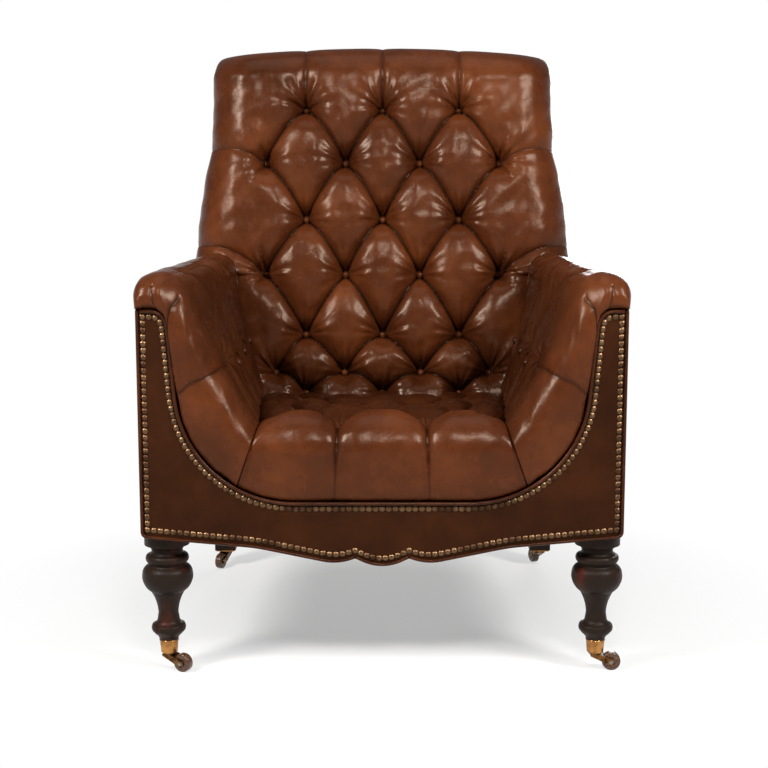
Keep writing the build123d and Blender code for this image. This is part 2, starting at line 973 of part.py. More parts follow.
def trim_rear():
    """cut a pad off along the raked plane just ahead of the back pad, which slants to the rear
    beyond the corners where the back widens over the arms; for use inside the pad's block"""
    near = tuft_face(body_bottom) - back_crown - soft_gap
    wing_x = back_lower_width / 2
    far = near + (body_width - wing_x) * arm_wing_share
    cut_ends = [(body_width, at(far)), (wing_x, at(near))]
    with BuildSketch(Plane.XY.offset(body_bottom)) as cut:
        with BuildLine():
            Polyline(*cut_ends, *[(-x, y) for x, y in reversed(cut_ends)], close=True)
        make_face()
    length = (top_height - body_bottom) * sqrt(1 + rake * rake)
    extrude(cut.sketch, amount=length, dir=(0, rake, 1), mode=Mode.SUBTRACT)


# Seat pad: upright sections, from the rolled front edge to the foot of the back
seat_row_shares = [seat_wide_row_shares, seat_narrow_row_shares] * 2
seat_rows = [(near * seat_crease_width, far * seat_crease_width) for near, far in seat_row_shares]
seat_end = tuft_face(seat_crease_height) - back_crown + overrun
front_stations = [(-seat_bulge, bulge_inset), (-seat_bulge / 3, bulge_inset / 2)]
front_stations += [(0, welt_radius + soft_gap), (facing_thickness, soft_gap)]
lip_stations = [facing_thickness + soft_gap, seat_front_depth / 3, seat_front_depth * 2 / 3]
lip_stations += [seat_front_depth]
rear_stations = [seat_front_depth + soft_gap] + stations(seat_row_depths) + [seat_end]
seat_sections = [(depth, inset, seat_lip_bottom) for depth, inset in front_stations]
seat_sections += [(depth, None, seat_lip_bottom) for depth in lip_stations]
seat_sections += [(depth, None, seat_bottom) for depth in rear_stations]
seat_faces = []
for depth, inset, bottom in seat_sections:
    places, nearness = pleats(seat_rows, seat_row_depths, depth)
    share = depth / tuft_face(seat_valley_rear)
    reach = (seat_front_depth - depth) / (seat_front_depth + seat_bulge)
    drop = seat_front_drop * (1 - sqrt(1 - max(min(reach, 1), 0) ** 2))
    valley = blend(seat_valley_front, seat_valley_rear, share) - seat_pit * nearness - drop
    edge_top = valley + seat_edge_rise
    edge_x = crease_half(depth, edge_top) - soft_gap
    with BuildSketch(Plane.XZ.offset(-at(depth))) as section:
        with BuildLine():
            if inset is None:
                foot_x = crease_half(depth, bottom) - soft_gap
                arc((foot_x, bottom), (bowl_x, bottom), -slack_share)
                Line((bowl_x, bottom), (-bowl_x, bottom))
                arc((-bowl_x, bottom), (-foot_x, bottom), -slack_share)
            else:
                turn = bowl_crease(depth, inset) + seam_turn
                foot_x, bottom = bowl_point(turn, inset)
                middle_x, middle_z = bowl_point((turn + radians(90)) / 2, inset)
                low = bowl_z - opening_foot_radius + inset
                ThreePointArc((foot_x, bottom), (middle_x, middle_z), (bowl_x, low))
                Line((bowl_x, low), (-bowl_x, low))
                ThreePointArc((-bowl_x, low), (-middle_x, middle_z), (-foot_x, bottom))
            edge = (-edge_x, edge_top)
            Line((-foot_x, bottom), edge)
            for x in places:
                limit = edge_x - seat_rim_step
                x = min(max(x, -limit), limit)
                arc(edge, (x, valley), puff_share)
                edge = (x, valley)
            arc(edge, (edge_x, edge_top), puff_share)
            Line((edge_x, edge_top), (foot_x, bottom))
        make_face()
    seat_faces.append(section.sketch.face())
front_count = len(front_stations)
with BuildPart() as seat_pad:
    loft(seat_faces[: front_count + 1], ruled=True)
    loft(seat_faces[front_count:], ruled=True)
    trim_rear()
    seat_button_planes = [
        Plane(
            origin=(
                x,
                at(depth),
                blend(seat_valley_front, seat_valley_rear, depth / tuft_face(seat_valley_rear))
                - seat_pit,
            ),
            z_dir=(0, 0, 1),
        )
        for x, depth in button_rows(seat_rows, seat_row_depths)
    ]
    cut_pockets(seat_button_planes)
finish(seat_pad.part, "seat_pad")
button_group(seat_button_planes, "seat_buttons")


# Arm pads: upright sections, from the rolled front to the foot of the back. Each section is
# drawn in by a squeeze, at the front roll and at each pleat over the top of the arm
squeezes = [(-arm_bulge, arm_front_squeeze, bulge_inset)]
squeezes += [(-arm_bulge / 2, arm_front_squeeze * 0.6, bulge_inset * 0.6)]
squeezes += [(0, arm_front_squeeze * 0.4, welt_radius + soft_gap)]
squeezes += [(facing_thickness, arm_front_squeeze * 0.3, soft_gap)]
squeezes += [(rail_front - soft_gap, arm_front_squeeze * 0.24, None)]
squeezes += [(arm_roll_depth / 2, arm_front_squeeze * 0.08, None), (arm_roll_depth, 0, None)]
for depth in arm_pleat_depths:
    squeezes += [(depth - arm_pleat_half_width, 0, None), (depth, arm_pleat_depth, None)]
    squeezes += [(depth + arm_pleat_half_width, 0, None)]
arm_end = tuft_face(arm_top) - back_crown + overrun
squeezes += [(arm_end, 0, None), (rail_end, 0, None)]
arm_faces = []
for depth, squeeze, inset in squeezes:
    share = depth / arm_end
    outer = body_half(depth)
    lip_outer = outer
    lip_inner = outer - arm_lip_wall
    lip_z = arm_lip_bottom
    ridge = (outer - arm_ridge_inset, arm_top - squeeze)
    top_x = blend(arm_shoulder_width, arm_shoulder_rear_width, share) / 2
    inner_top = (top_x + squeeze * 0.8, arm_shoulder - squeeze / 2)
    crease_z = seat_crease_height - squeeze * 1.3
    crease = (crease_half(depth, crease_z), crease_z)
    hollow = blend(arm_hollow, arm_rear_hollow, share)
    if inset is None:
        rail_side = arm_rail_inner(depth) - soft_gap
        rail_over = arm_rail_top + soft_gap
        foot = (crease_half(depth, seat_lip_bottom), seat_lip_bottom)
        heel = (rail_side, seat_lip_bottom)
        ledge = (rail_side, rail_over)
        lip_top = (lip_inner, rail_over)
        heel_middle = ((foot[0] + heel[0]) / 2, seat_lip_bottom)
        ledge_middle = ((ledge[0] + lip_top[0]) / 2, rail_over)
    else:
        turn = bowl_crease(depth, inset)
        level = asin(side_lean / side_slant)
        foot = bowl_point(turn, inset)
        heel = bowl_point(level, inset)
        heel_middle = bowl_point((turn + level) / 2, inset)
        reach = opening_shoulder_radius + inset
        ledge = (shoulder_x - reach / side_slant, shoulder_z + reach * side_lean / side_slant)
        middle_turn = (radians(90) - level) / 2
        ledge_middle = (shoulder_x - reach * sin(middle_turn), shoulder_z + reach * cos(middle_turn))
        lip_z = facing_top + max(inset + soft_gap, arm_lip_bottom - facing_top)
        lip_top = (shoulder_x, shoulder_z + reach)
        lip_outer = outer - squeeze * 0.8
        lip_inner = (lip_outer + shoulder_x) / 2
    side = (outer + arm_lip - squeeze, arm_lip_middle)
    with BuildSketch(Plane.XZ.offset(-at(depth))) as section:
        with BuildLine():
            arc((lip_outer, lip_z), side, -puff_share / 2)
            arc(side, ridge, -puff_share)
            arc(ridge, inner_top, -puff_share / 2)
            arc(inner_top, crease, hollow / (arm_shoulder - seat_crease_height))
            Line(crease, foot)
            if inset is None:
                arc(foot, heel, slack_share)
            else:
                ThreePointArc(foot, heel_middle, heel)
            Line(heel, ledge)
            if inset is None:
                arc(ledge, lip_top, slack_share)
            else:
                ThreePointArc(ledge, ledge_middle, lip_top)
            Line(lip_top, (lip_inner, lip_z))
            Line((lip_inner, lip_z), (lip_outer, lip_z))
        make_face()
    arm_faces.append(section.sketch.face())
arm_button_planes = []
for depth in arm_pleat_depths:
    share = depth / arm_end
    top_x = blend(arm_shoulder_width, arm_shoulder_rear_width, share) / 2
    crease_x = crease_half(depth, seat_crease_height)
    rise = arm_shoulder - seat_crease_height
    run = top_x - crease_x
    up = (arm_button_height - seat_crease_height) / rise
    depth_in = blend(arm_hollow, arm_rear_hollow, share) * 4 * up * (1 - up) + arm_button_pit
    chord = sqrt(run * run + rise * rise)
    normal = (-rise / chord, 0, run / chord)
    arm_button_planes.append(
        Plane(
            origin=(
                crease_x + run * up - normal[0] * depth_in,
                at(depth),
                arm_button_height - normal[2] * depth_in,
            ),
            z_dir=normal,
        )
    )
with BuildPart() as arm_pad:
    loft(arm_faces[: front_count + 1], ruled=True)
    loft(arm_faces[front_count:], ruled=True)
    trim_rear()
    cut_pockets(arm_button_planes)
write_pair(arm_pad.part, "arm_pad")
with BuildPart() as arm_buttons:
    with Locations(*arm_button_planes):
        add(button)
write_pair(arm_buttons.part, "arm_buttons")


# Turned front legs: outline as shares of the bulb's radius and of the turned height
leg_outline_shares = [
    [(0.884, 1), (0.884, 0.886)],
    [(0.884, 0.886), (0.687, 0.864), (0.609, 0.832)],
    [(0.609, 0.832), (0.652, 0.804), (0.794, 0.788)],
    [(0.794, 0.788), (0.848, 0.755), (0.782, 0.723)],
    [(0.782, 0.723), (0.739, 0.704)],
    [(0.739, 0.704), (0.782, 0.693)],
    [(0.782, 0.693), (0.919, 0.666), (0.986, 0.62)],
    [(0.986, 0.62), (1, 0.582), (0.948, 0.533)],
    [(0.948, 0.533), (0.84, 0.488), (0.664, 0.451)],
    [(0.664, 0.451), (0.464, 0.348), (0.393, 0.25)],
    [(0.393, 0.25), (0.427, 0.201)],
    [(0.427, 0.201), (0.5, 0.16), (0.635, 0.141)],
    [(0.635, 0.141), (0.675, 0.114), (0.649, 0.084)],
    [(0.649, 0.084), (0.54, 0.054)],
    [(0.54, 0.054), (0.43, 0.03), (0.37, 0)],
]
leg_height = body_bottom - leg_foot
tenon_end = cup_bottom + cup_base + thrust_gap


def leg_point(point):
    return point[0] * leg_bulb_radius, leg_foot + point[1] * leg_height


with BuildPart() as front_leg:
    with BuildSketch(Plane.XZ):
        with BuildLine():
            top_radius, leg_top = leg_point(leg_outline_shares[0][0])
            foot_radius, leg_end = leg_point(leg_outline_shares[-1][-1])
            Polyline((0, leg_top + dowel_length), (dowel_radius, leg_top + dowel_length))
            Line((dowel_radius, leg_top + dowel_length), (dowel_radius, leg_top))
            Line((dowel_radius, leg_top), (top_radius, leg_top))
            for piece in leg_outline_shares:
                points = [leg_point(point) for point in piece]
                if len(points) == 2:
                    Line(*points)
                else:
                    ThreePointArc(*points)
            tenon_radius = cup_bore_radius - dowel_gap
            Polyline(
                (foot_radius, leg_end),
                (tenon_radius, leg_end),
                (tenon_radius, tenon_end),
                (0, tenon_end),
                (0, leg_top + dowel_length),
            )
        make_face()
    revolve(axis=Axis.Z)
    with Locations((0, 0, tenon_end)):
        Cylinder(
            pintle_hole_radius,
            pintle_length,
            align=(Align.CENTER, Align.CENTER, Align.MIN),
            mode=Mode.SUBTRACT,
        )
with BuildPart() as caster_cup:
    with BuildSketch(Plane.XZ):
        bead_bottom = leg_foot - cup_bead_height
        bead_x = cup_top_radius + cup_bead
        bore = pintle_radius + running_gap
        with BuildLine():
            Polyline(
                (cup_top_radius, leg_foot),
                (cup_bore_radius, leg_foot),
                (cup_bore_radius, cup_bottom + cup_base),
                (bore, cup_bottom + cup_base),
                (bore, cup_bottom),
                (cup_bottom_radius, cup_bottom),
                (cup_top_radius, bead_bottom),
            )
            ThreePointArc(
                (cup_top_radius, bead_bottom),
                (bead_x, leg_foot - cup_bead_height / 2),
                (cup_top_radius, leg_foot),
            )
        make_face()
    revolve(axis=Axis.Z)


def write_both(piece, x, y, name):
    """the same piece standing at the right and at the left"""
    for side, end in ((1, "_right"), (-1, "_left")):
        with BuildPart() as placed:
            with Locations((side * x, y, 0)):
                add(piece)
        finish(placed.part, name + end)


write_both(front_leg.part, leg_x, at(front_leg_depth), "front_leg")
write_both(caster_cup.part, leg_x, at(front_leg_depth), "caster_cup")

with BuildPart() as caster_plate:
    with Locations((0, 0, rear_leg_foot - rear_plate_thickness)):
        Box(
            rear_plate_size,
            rear_plate_size,
            rear_plate_thickness,
            align=(Align.CENTER, Align.CENTER, Align.MIN),
        )
        Cylinder(pintle_radius + running_gap, overrun, mode=Mode.SUBTRACT)
        with GridLocations(plate_screw_spacing, plate_screw_spacing, 2, 2):
            Cylinder(screw_radius + running_gap, overrun, mode=Mode.SUBTRACT)
write_both(caster_plate.part, rear_leg_x, at(rear_leg_foot_depth), "caster_plate")

plate_bottom = rear_leg_foot - rear_plate_thickness
with BuildPart() as screw:
    with Locations(Plane(origin=(0, 0, plate_bottom), z_dir=(0, 0, -1))):
        add(domed(screw_head_radius, screw_head / 3, screw_head * 2 / 3))
    with Locations((0, 0, plate_bottom)):
        Cylinder(
            screw_radius,
            screw_length + rear_plate_thickness / 2,
            align=(Align.CENTER, Align.CENTER, Align.MIN),
        )
with BuildPart() as plate_screws:
    for side in (1, -1):
        with Locations((side * rear_leg_x, at(rear_leg_foot_depth), 0)):
            with GridLocations(plate_screw_spacing, plate_screw_spacing, 2, 2):
                add(screw.part)
finish(plate_screws.part, "plate_screws")

# Casters: each horn swivels on its pintle and carries a wheel on a cross axle
cheek_reach = wheel_width / 2 + wheel_side_gap + cheek_thickness
axle_plane = Plane(origin=(caster_trail, 0, wheel_radius), z_dir=(0, 1, 0))


def horn(top):
    """horn in its own frame, trailing along +X, with its disc's top face at a height"""
    disc_bottom = top - horn_disc_thickness
    with BuildPart() as made:
        with BuildSketch(Plane.XZ.offset(-cheek_reach)):
            with Locations((caster_trail, wheel_radius)):
                Circle(horn_boss_radius)
            with Locations((0, disc_bottom)):
                Rectangle(2 * horn_neck_half, horn_disc_thickness, align=(Align.CENTER, Align.MAX))
            make_hull()
        extrude(amount=2 * cheek_reach)
        with Locations(axle_plane):
            Cylinder(
                wheel_radius + wheel_rim_gap,
                wheel_width + 2 * wheel_side_gap,
                mode=Mode.SUBTRACT,
            )
            Cylinder(axle_radius + axle_seat_gap, 3 * cheek_reach, mode=Mode.SUBTRACT)
        with Locations((0, 0, disc_bottom)):
            Cylinder(
                horn_disc_radius,
                horn_disc_thickness,
                align=(Align.CENTER, Align.CENTER, Align.MIN),
            )
        with Locations((0, 0, top)):
            Cylinder(pintle_radius, pintle_length, align=(Align.CENTER, Align.CENTER, Align.MIN))
    return made.part


with BuildPart() as axle:
    with Locations(axle_plane):
        Cylinder(axle_radius, 2 * cheek_reach)
    for side in (1, -1):
        head_place = Plane(origin=(caster_trail, side * cheek_reach, wheel_radius), z_dir=(0, side, 0))
        with Locations(head_place):
            add(domed(axle_head_radius, axle_head_thickness / 3, axle_head_thickness * 2 / 3))
with BuildPart() as wheel:
    with Locations(axle_plane):
        Cylinder(wheel_radius, wheel_width)
    fillet(wheel.edges().filter_by(GeomType.CIRCLE), radius=wheel_crown)
    with Locations(axle_plane):
        Cylinder(axle_radius + running_gap, 2 * wheel_width, mode=Mode.SUBTRACT)

front_horn = horn(cup_bottom - thrust_gap)
rear_horn = horn(plate_bottom - thrust_gap)
corners = [
    ("front_left", -leg_x, front_leg_depth, front_left_azimuth, front_horn),
    ("front_right", leg_x, front_leg_depth, front_right_azimuth, front_horn),
    ("rear_left", -rear_leg_x, rear_leg_foot_depth, rear_left_azimuth, rear_horn),
    ("rear_right", rear_leg_x, rear_leg_foot_depth, rear_right_azimuth, rear_horn),
]
for corner_name, x, depth, azimuth, corner_horn in corners:
    pieces = [("caster_horn_", corner_horn), ("caster_axle_", axle.part), ("caster_wheel_", wheel.part)]
    for piece_name, piece in pieces:
        with BuildPart() as placed:
            with Locations(Location((x, at(depth), 0), (0, 0, azimuth))):
                add(piece)
        finish(placed.part, piece_name + corner_name)
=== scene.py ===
import math

import bpy
import numpy as np
from bpy.props import FloatProperty, PointerProperty, StringProperty
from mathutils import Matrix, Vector


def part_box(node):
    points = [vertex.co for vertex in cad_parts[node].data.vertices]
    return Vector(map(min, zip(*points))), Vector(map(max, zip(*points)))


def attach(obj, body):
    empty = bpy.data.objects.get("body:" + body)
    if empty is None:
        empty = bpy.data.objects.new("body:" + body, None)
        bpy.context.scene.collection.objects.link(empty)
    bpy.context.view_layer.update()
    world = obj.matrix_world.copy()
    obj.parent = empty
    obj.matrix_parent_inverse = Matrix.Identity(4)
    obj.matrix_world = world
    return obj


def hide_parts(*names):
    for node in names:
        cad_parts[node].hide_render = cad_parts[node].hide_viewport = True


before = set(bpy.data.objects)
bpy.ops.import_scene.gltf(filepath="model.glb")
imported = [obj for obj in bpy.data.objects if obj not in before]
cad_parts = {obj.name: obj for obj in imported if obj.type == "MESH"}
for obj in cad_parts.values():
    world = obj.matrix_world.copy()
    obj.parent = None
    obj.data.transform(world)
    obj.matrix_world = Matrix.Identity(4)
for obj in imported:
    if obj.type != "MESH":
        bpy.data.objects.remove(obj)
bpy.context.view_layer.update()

bl_info = {
    "name": "Buttoned Club Chair",
    "version": (1, 0, 0),
    "blender": (4, 5, 0),
    "location": "View3D > Sidebar > Club Chair",
    "description": "Dresses a leather club chair: tufted pads, nailed covers, turned legs, casters",
    "category": "Object",
}

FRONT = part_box("front_facing")[0][1]  # the leather front panel's face, from which depths are counted


# Sizes and colours that a user would change
class ClubChairSizes(bpy.types.PropertyGroup):
    """Driving sizes of the pads, in metres"""
    half_width: FloatProperty(
        name="Half width", description="Half width over the front panel", default=0.392, unit="LENGTH")
    rear_half_width: FloatProperty(
        name="Rear half width", description="Half width at the rear legs", default=0.3575, unit="LENGTH")
    taper_end: FloatProperty(
        name="Taper end", description="Depth where the sides stop drawing in", default=0.651, unit="LENGTH")
    back_foot: FloatProperty(
        name="Back foot depth", description="Depth of the outside back's foot", default=0.697, unit="LENGTH")
    body_bottom: FloatProperty(
        name="Body bottom", description="Height of the body's lower edge", default=0.238, unit="LENGTH")
    rake: FloatProperty(
        name="Rake", description="Lean of the back", default=math.radians(10), subtype="ANGLE")
    padding: FloatProperty(
        name="Back padding", description="From the outside back to the buttons", default=0.166, unit="LENGTH")
    back_crown: FloatProperty(
        name="Back crown", description="How far the back's puffs stand up", default=0.034, unit="LENGTH")
    back_top: FloatProperty(
        name="Back top", description="Height of the rolled top", default=1.075, unit="LENGTH")
    back_round: FloatProperty(
        name="Back rounding", description="Height where the top starts to roll", default=1.01, unit="LENGTH")
    back_wide: FloatProperty(
        name="Back half width", description="Half width above the arms", default=0.384, unit="LENGTH")
    back_narrow: FloatProperty(
        name="Back top half width", description="Half width at the top", default=0.344, unit="LENGTH")
    back_step: FloatProperty(
        name="Back step", description="Height where the back widens", default=0.6285, unit="LENGTH")
    seat_crown: FloatProperty(
        name="Seat crown", description="How far the seat's puffs stand up", default=0.03, unit="LENGTH")
    seat_front: FloatProperty(
        name="Seat front height", description="Height of the front pleats", default=0.416, unit="LENGTH")
    seat_rear: FloatProperty(
        name="Seat rear height", description="Height of the rear pleats", default=0.366, unit="LENGTH")
    seat_half: FloatProperty(
        name="Seat half width", description="Half width at the front", default=0.187, unit="LENGTH")
    seat_half_rear: FloatProperty(
        name="Seat rear half width", description="Half width at the rear", default=0.225, unit="LENGTH")
    crease_height: FloatProperty(
        name="Crease height", description="Height where seat and arm meet", default=0.448, unit="LENGTH")
    crease_lean: FloatProperty(
        name="Crease lean", description="Width over height of the plane between seat and arm", default=0.393)
    opening_foot: FloatProperty(
        name="Opening foot", description="Lowest edge of the front opening", default=0.296, unit="LENGTH")
    opening_radius: FloatProperty(
        name="Opening radius", description="Radius of its lower corners", default=0.19, unit="LENGTH")
    bowl_x: FloatProperty(
        name="Bowl centre", description="Centre of its corner circle", default=0.1426, unit="LENGTH")
    arm_top: FloatProperty(
        name="Arm top", description="Height of the arm's ridge", default=0.668, unit="LENGTH")
    arm_lip: FloatProperty(
        name="Arm lip", description="Height of the arm pad's lower outer edge", default=0.612, unit="LENGTH")
    arm_roll: FloatProperty(
        name="Arm roll", description="Depth of the rounded arm front", default=0.05, unit="LENGTH")
    arm_bulge: FloatProperty(
        name="Arm bulge", description="How far the arm stands before the panel", default=0.012, unit="LENGTH")
    step: FloatProperty(
        name="Mesh step", description="Spacing of the pads' meshes", default=0.0021, unit="LENGTH")


class ClubChairColours(bpy.types.PropertyGroup):
    """Colours of the finishes, as sRGB hex values"""
    hide_light: StringProperty(name="Light hide", description="Rubbed, high parts", default="#5f2f14")
    hide_mid: StringProperty(name="Hide", description="Main colour of the leather", default="#49220e")
    hide_cloud: StringProperty(name="Clouded hide", description="Dark clouds in the dye", default="#331608")
    # the dark hide is the colour of the painted shade in the pads' folds, by buttons and in hollows, and the
    # darkest dye of the piping
    hide_dark_and_fold_shade: StringProperty(name="Dark hide", description="Leather down in the folds", default="#180803")
    # the cover tones are a darker copy of the hide, as painted shade: the outside covers take less light
    cover_light: StringProperty(name="Light cover", description="Rubbed outside covers", default="#3b1c0b")
    cover_mid: StringProperty(name="Cover", description="Outside covers", default="#2d1508")
    cover_cloud: StringProperty(name="Clouded cover", description="Their dark clouds", default="#200d05")
    wood_black: StringProperty(name="Ebonised wood", description="Black of the legs", default="#20150e")
    wood_red: StringProperty(name="Rubbed wood", description="Red wood where it is rubbed", default="#45190e")
    hardwood: StringProperty(name="Hardwood", description="Bare frame timber", default="#a9804f")
    nail: StringProperty(name="Nail brass", description="Antiqued brass of the nails", default="#72573e")
    nail_shadow: StringProperty(name="Nail tarnish", description="Brown in hollows", default="#463022")
    brass: StringProperty(name="Brass", description="Polished brass of the caster cups", default="#b8844c")
    brass_shadow: StringProperty(name="Brass tarnish", description="Dull brass of cups", default="#8f6236")
    bronze: StringProperty(name="Bronze", description="Aged bronze of the caster horns", default="#7c5530")
    bronze_shadow: StringProperty(name="Bronze tarnish", description="Brown of the horns", default="#2c1d10")
    steel: StringProperty(name="Steel", description="Axles, screws and springs", default="#8c8883")
    steel_shadow: StringProperty(name="Dull steel", description="Dull axles and screws", default="#5a5550")
    spring_shadow: StringProperty(name="Dull springs", description="Brown of the springs", default="#4a4038")
    wheel: StringProperty(name="Wheel", description="Dark composition of the wheels", default="#3d2616")
    jute: StringProperty(name="Jute", description="Webbing straps", default="#9a8358")
    canvas: StringProperty(name="Canvas", description="Black cambric and spring canvas", default="#191716")
    floor: StringProperty(name="Floor", description="Studio floor", default="#f2f1ef")


# Body of the chair: half widths and depths that the pads share
BACK_LOW_HALF = 0.304  # half width of the back pad between the arms
BACK_STEP_BLEND = 0.008  # height over which it widens above the arms
SHOULDER_PUFF = 0.007  # how far its sides puff out between their pleats
BACK_FALLOFF_POWER = 2


def blend(low, high, share):
    """from low to high along a share, held at both ends"""
    return low + (high - low) * np.clip(share, 0, 1)


def climb(value, start, run):
    """a value's distance from a start over a run, held from 0 to 1. A run below 0 climbs downwards"""
    return np.clip((value - start) / run, 0, 1)


def fade(distance, reach):
    """falls from 1 with distance: the exponential of less the distance over the reach"""
    return np.exp(-distance / reach)


def bell(value, reach, at=0):
    """bell curve, 1 at its place: the exponential of less the squared distance over the reach"""
    return np.exp(-(((value - at) / reach) ** 2))


def quarter_round(share):
    """drop of a quarter circle over a share from 0 to 1: one less the root of one less its square"""
    return 1 - np.sqrt(np.maximum(1 - share ** 2, 0))


def body_half(s, depth):
    """half width over the sides: the front width drawn in along a straight taper"""
    return blend(s.half_width, s.rear_half_width, depth / s.taper_end)


def back_face(s, z):
    """depth of the outside back: the foot depth plus the rise times the tangent of the rake"""
    return s.back_foot + (z - s.body_bottom) * math.tan(s.rake)


def tuft_face(s, z):
    """depth of the plane of the buttons: the outside back less the padding"""
    return back_face(s, z) - s.padding


def crease_half(s, depth, z):
    """half width where seat and arm meet: a straight taper, wider by the lean lower down"""
    along = s.seat_half + (s.seat_half_rear - s.seat_half) * depth / tuft_face(s, s.seat_rear)
    return along + (s.crease_height - z) * s.crease_lean


def back_half(s, z):
    """half width of the back pad: narrow between the arms, then a squared falloff to the top and
    half a sine of puff between the side pleats"""
    share = climb(z, s.back_step, s.back_round - s.back_step)
    puff = np.sin(climb(z, start=0.65, run=0.21) * math.pi)
    falloff = (1 - share) ** BACK_FALLOFF_POWER
    wide = s.back_narrow + (s.back_wide - s.back_narrow) * falloff + SHOULDER_PUFF * puff
    return blend(BACK_LOW_HALF, wide, (z - s.back_step + BACK_STEP_BLEND / 2) / BACK_STEP_BLEND)


# Tufting, in metres: how high each effect is and how far it reaches from its fold or button
FAR = 9.0  # a distance that is longer than any on a pad
TURN = 6.28  # about a full turn, in radians
RIDGE_ROUNDING = 0.012  # over which the ridge half way between two folds is rounded
PUCKERS = ((5, 0.004), (9, 0.0056), (16, 0.0042))  # how many stand round a button, and how high
PUCKER_SIZES = (0.5, 1)  # shares of that height, drawn at random
PUCKER_BEND = 16  # the most that a pucker turns on its way out, in radians per metre
PUCKER_LEVEL_SHARE, PUCKER_ABOVE_SHARE = 0.72, 0.55  # height beside the button, and more above it
PUCKER_LEAST_SHARE = 0.1  # near a fold they fade to this share
FOLD_BOTTOM = 0.009  # flattens the puffs where they meet a fold
FOLD_SHARE = 0.3  # the sharp groove in a fold, as a share of the crown
PUFF_SHARE, PUFF_NEAR_SHARE = 0.56, 0.26  # puffs sink more near a button
FOLD_SHADE_BAND_SHARE, BUTTON_SHADE_SHARE = 0.11, 0.6  # painted shade: a faint wide band beside the dark painted line of a fold, and a patch round a button

# Unevenness, in radians per metre: waves of 66 to 224 mm, and finer ones of 27 to 70 mm
WAVE_COUNT = 9
SOFT_WAVES = (28, 95)
FINE_WAVES = (90, 230)
ARM_FINE_WAVES = (90, 220)


def fold_field(u, v, folds):
    """distance to the nearest of some folds, each a line of chords, how deep that fold is, and a
    rounded distance: the logarithm of the sum of exponentials of the distances to all the folds,
    which has no ridge half way between two of them"""
    best = np.full(u.shape, FAR)
    depth = np.ones(u.shape)
    total = np.zeros(u.shape)
    for chords in folds:
        line = np.full(u.shape, FAR)
        for u0, v0, u1, v1, strength in chords:
            du, dv = u1 - u0, v1 - v0
            t = np.clip(((u - u0) * du + (v - v0) * dv) / (du * du + dv * dv), 0, 1)
            line_next = np.minimum(line, np.hypot(u - u0 - t * du, v - v0 - t * dv))
            depth = np.where((line_next < line) & (line_next < best), strength, depth)
            line = line_next
        best = np.minimum(best, line)
        total = total + np.exp(-line / RIDGE_ROUNDING)
    return best, depth, -RIDGE_ROUNDING * np.log(total)


def button_puckers(u, v, buttons, seed):
    """puckers that run out from each button, and the distance to the nearest one: cosines of the
    angle that die away with distance and are strongest above the button, where the leather hangs"""
    chance = np.random.default_rng(seed)
    near = np.full(u.shape, FAR)
    puckers = np.zeros(u.shape)
    for bu, bv in buttons:
        r = np.hypot(u - bu, v - bv)
        angle = np.arctan2(v - bv, u - bu)
        near = np.minimum(near, r)
        reach = fade(r, reach=0.026) * climb(r, start=0.006, run=0.012)
        above = PUCKER_LEVEL_SHARE + PUCKER_ABOVE_SHARE * np.sin(angle)
        for count, height in PUCKERS:
            phase = chance.uniform(0, TURN)
            size = chance.uniform(*PUCKER_SIZES)
            bend = chance.uniform(-PUCKER_BEND, PUCKER_BEND)
            puckers = puckers + height * size * np.cos(count * angle + phase + bend * r) * reach * above
    return puckers, near


def tufting(u, v, folds, buttons, gap, crown, pit, seed):
    """how far leather sinks below its crown, and the painted shade of its folds and buttons. Puffs are a
    quarter sine over the gap to the nearest folds, folds and the band of painted shade beside them die away
    exponentially, and each button's pit and painted shade are bell curves of its distance"""
    distance, strength, rounded = fold_field(u, v, folds)
    puckers, near = button_puckers(u, v, buttons, seed)
    puff = np.sin(climb(rounded, -FOLD_BOTTOM, gap + FOLD_BOTTOM) * math.pi / 2)
    fold = FOLD_SHARE * fade(distance, reach=0.0036)
    deep = PUFF_SHARE + PUFF_NEAR_SHARE * fade(near, reach=0.034)
    sink = crown * strength * deep * (1 - puff) + crown * strength * fold
    sink = sink + puckers * np.maximum(climb(distance, start=0, run=0.01), PUCKER_LEAST_SHARE)
    sink = sink + pit * bell(near, reach=0.019)
    # painted shade: a thin dark line along each fold with a faint wider band beside it, and a patch round
    # each button, returned as the fold attribute
    line = bell(distance, reach=0.002) + FOLD_SHADE_BAND_SHARE * fade(distance, reach=0.007)
    shade = line * strength + BUTTON_SHADE_SHARE * bell(near, reach=0.011)
    return sink, np.clip(shade, 0, 1)


def slack(u, v, seed, size, waves=SOFT_WAVES):
    """soft unevenness of stuffed leather: a few sine waves in fixed, seeded directions"""
    chance = np.random.default_rng(seed)
    total = np.zeros(np.broadcast(u, v).shape)
    for _ in range(WAVE_COUNT):
        turn = chance.uniform(0, TURN)
        wave = chance.uniform(*waves)
        phase = chance.uniform(0, TURN)
        total = total + np.sin(wave * (u * math.cos(turn) + v * math.sin(turn)) + phase)
    return total / WAVE_COUNT * size


def six_places(near, far):
    """where six pleats leave a row of three or of four buttons"""
    return [-far, -far, 0, 0, far, far] if near == 0 else [-far, -near, -near, near, near, far]


def bowed(start, end, bow, strength, last=None, chords=6):
    """a pleat that hangs in a shallow curve, as chords of a parabola with its rise in the middle, its
    strength running from the first to the last"""
    shares = [k / chords for k in range(chords + 1)]
    line = [(start[0] * (1 - t) + end[0] * t, start[1] * (1 - t) + end[1] * t + bow * 4 * t * (1 - t))
            for t in shares]
    last = strength if last is None else last
    return [(*p, *q, strength + (last - strength) * t) for p, q, t in zip(line, line[1:], shares)]


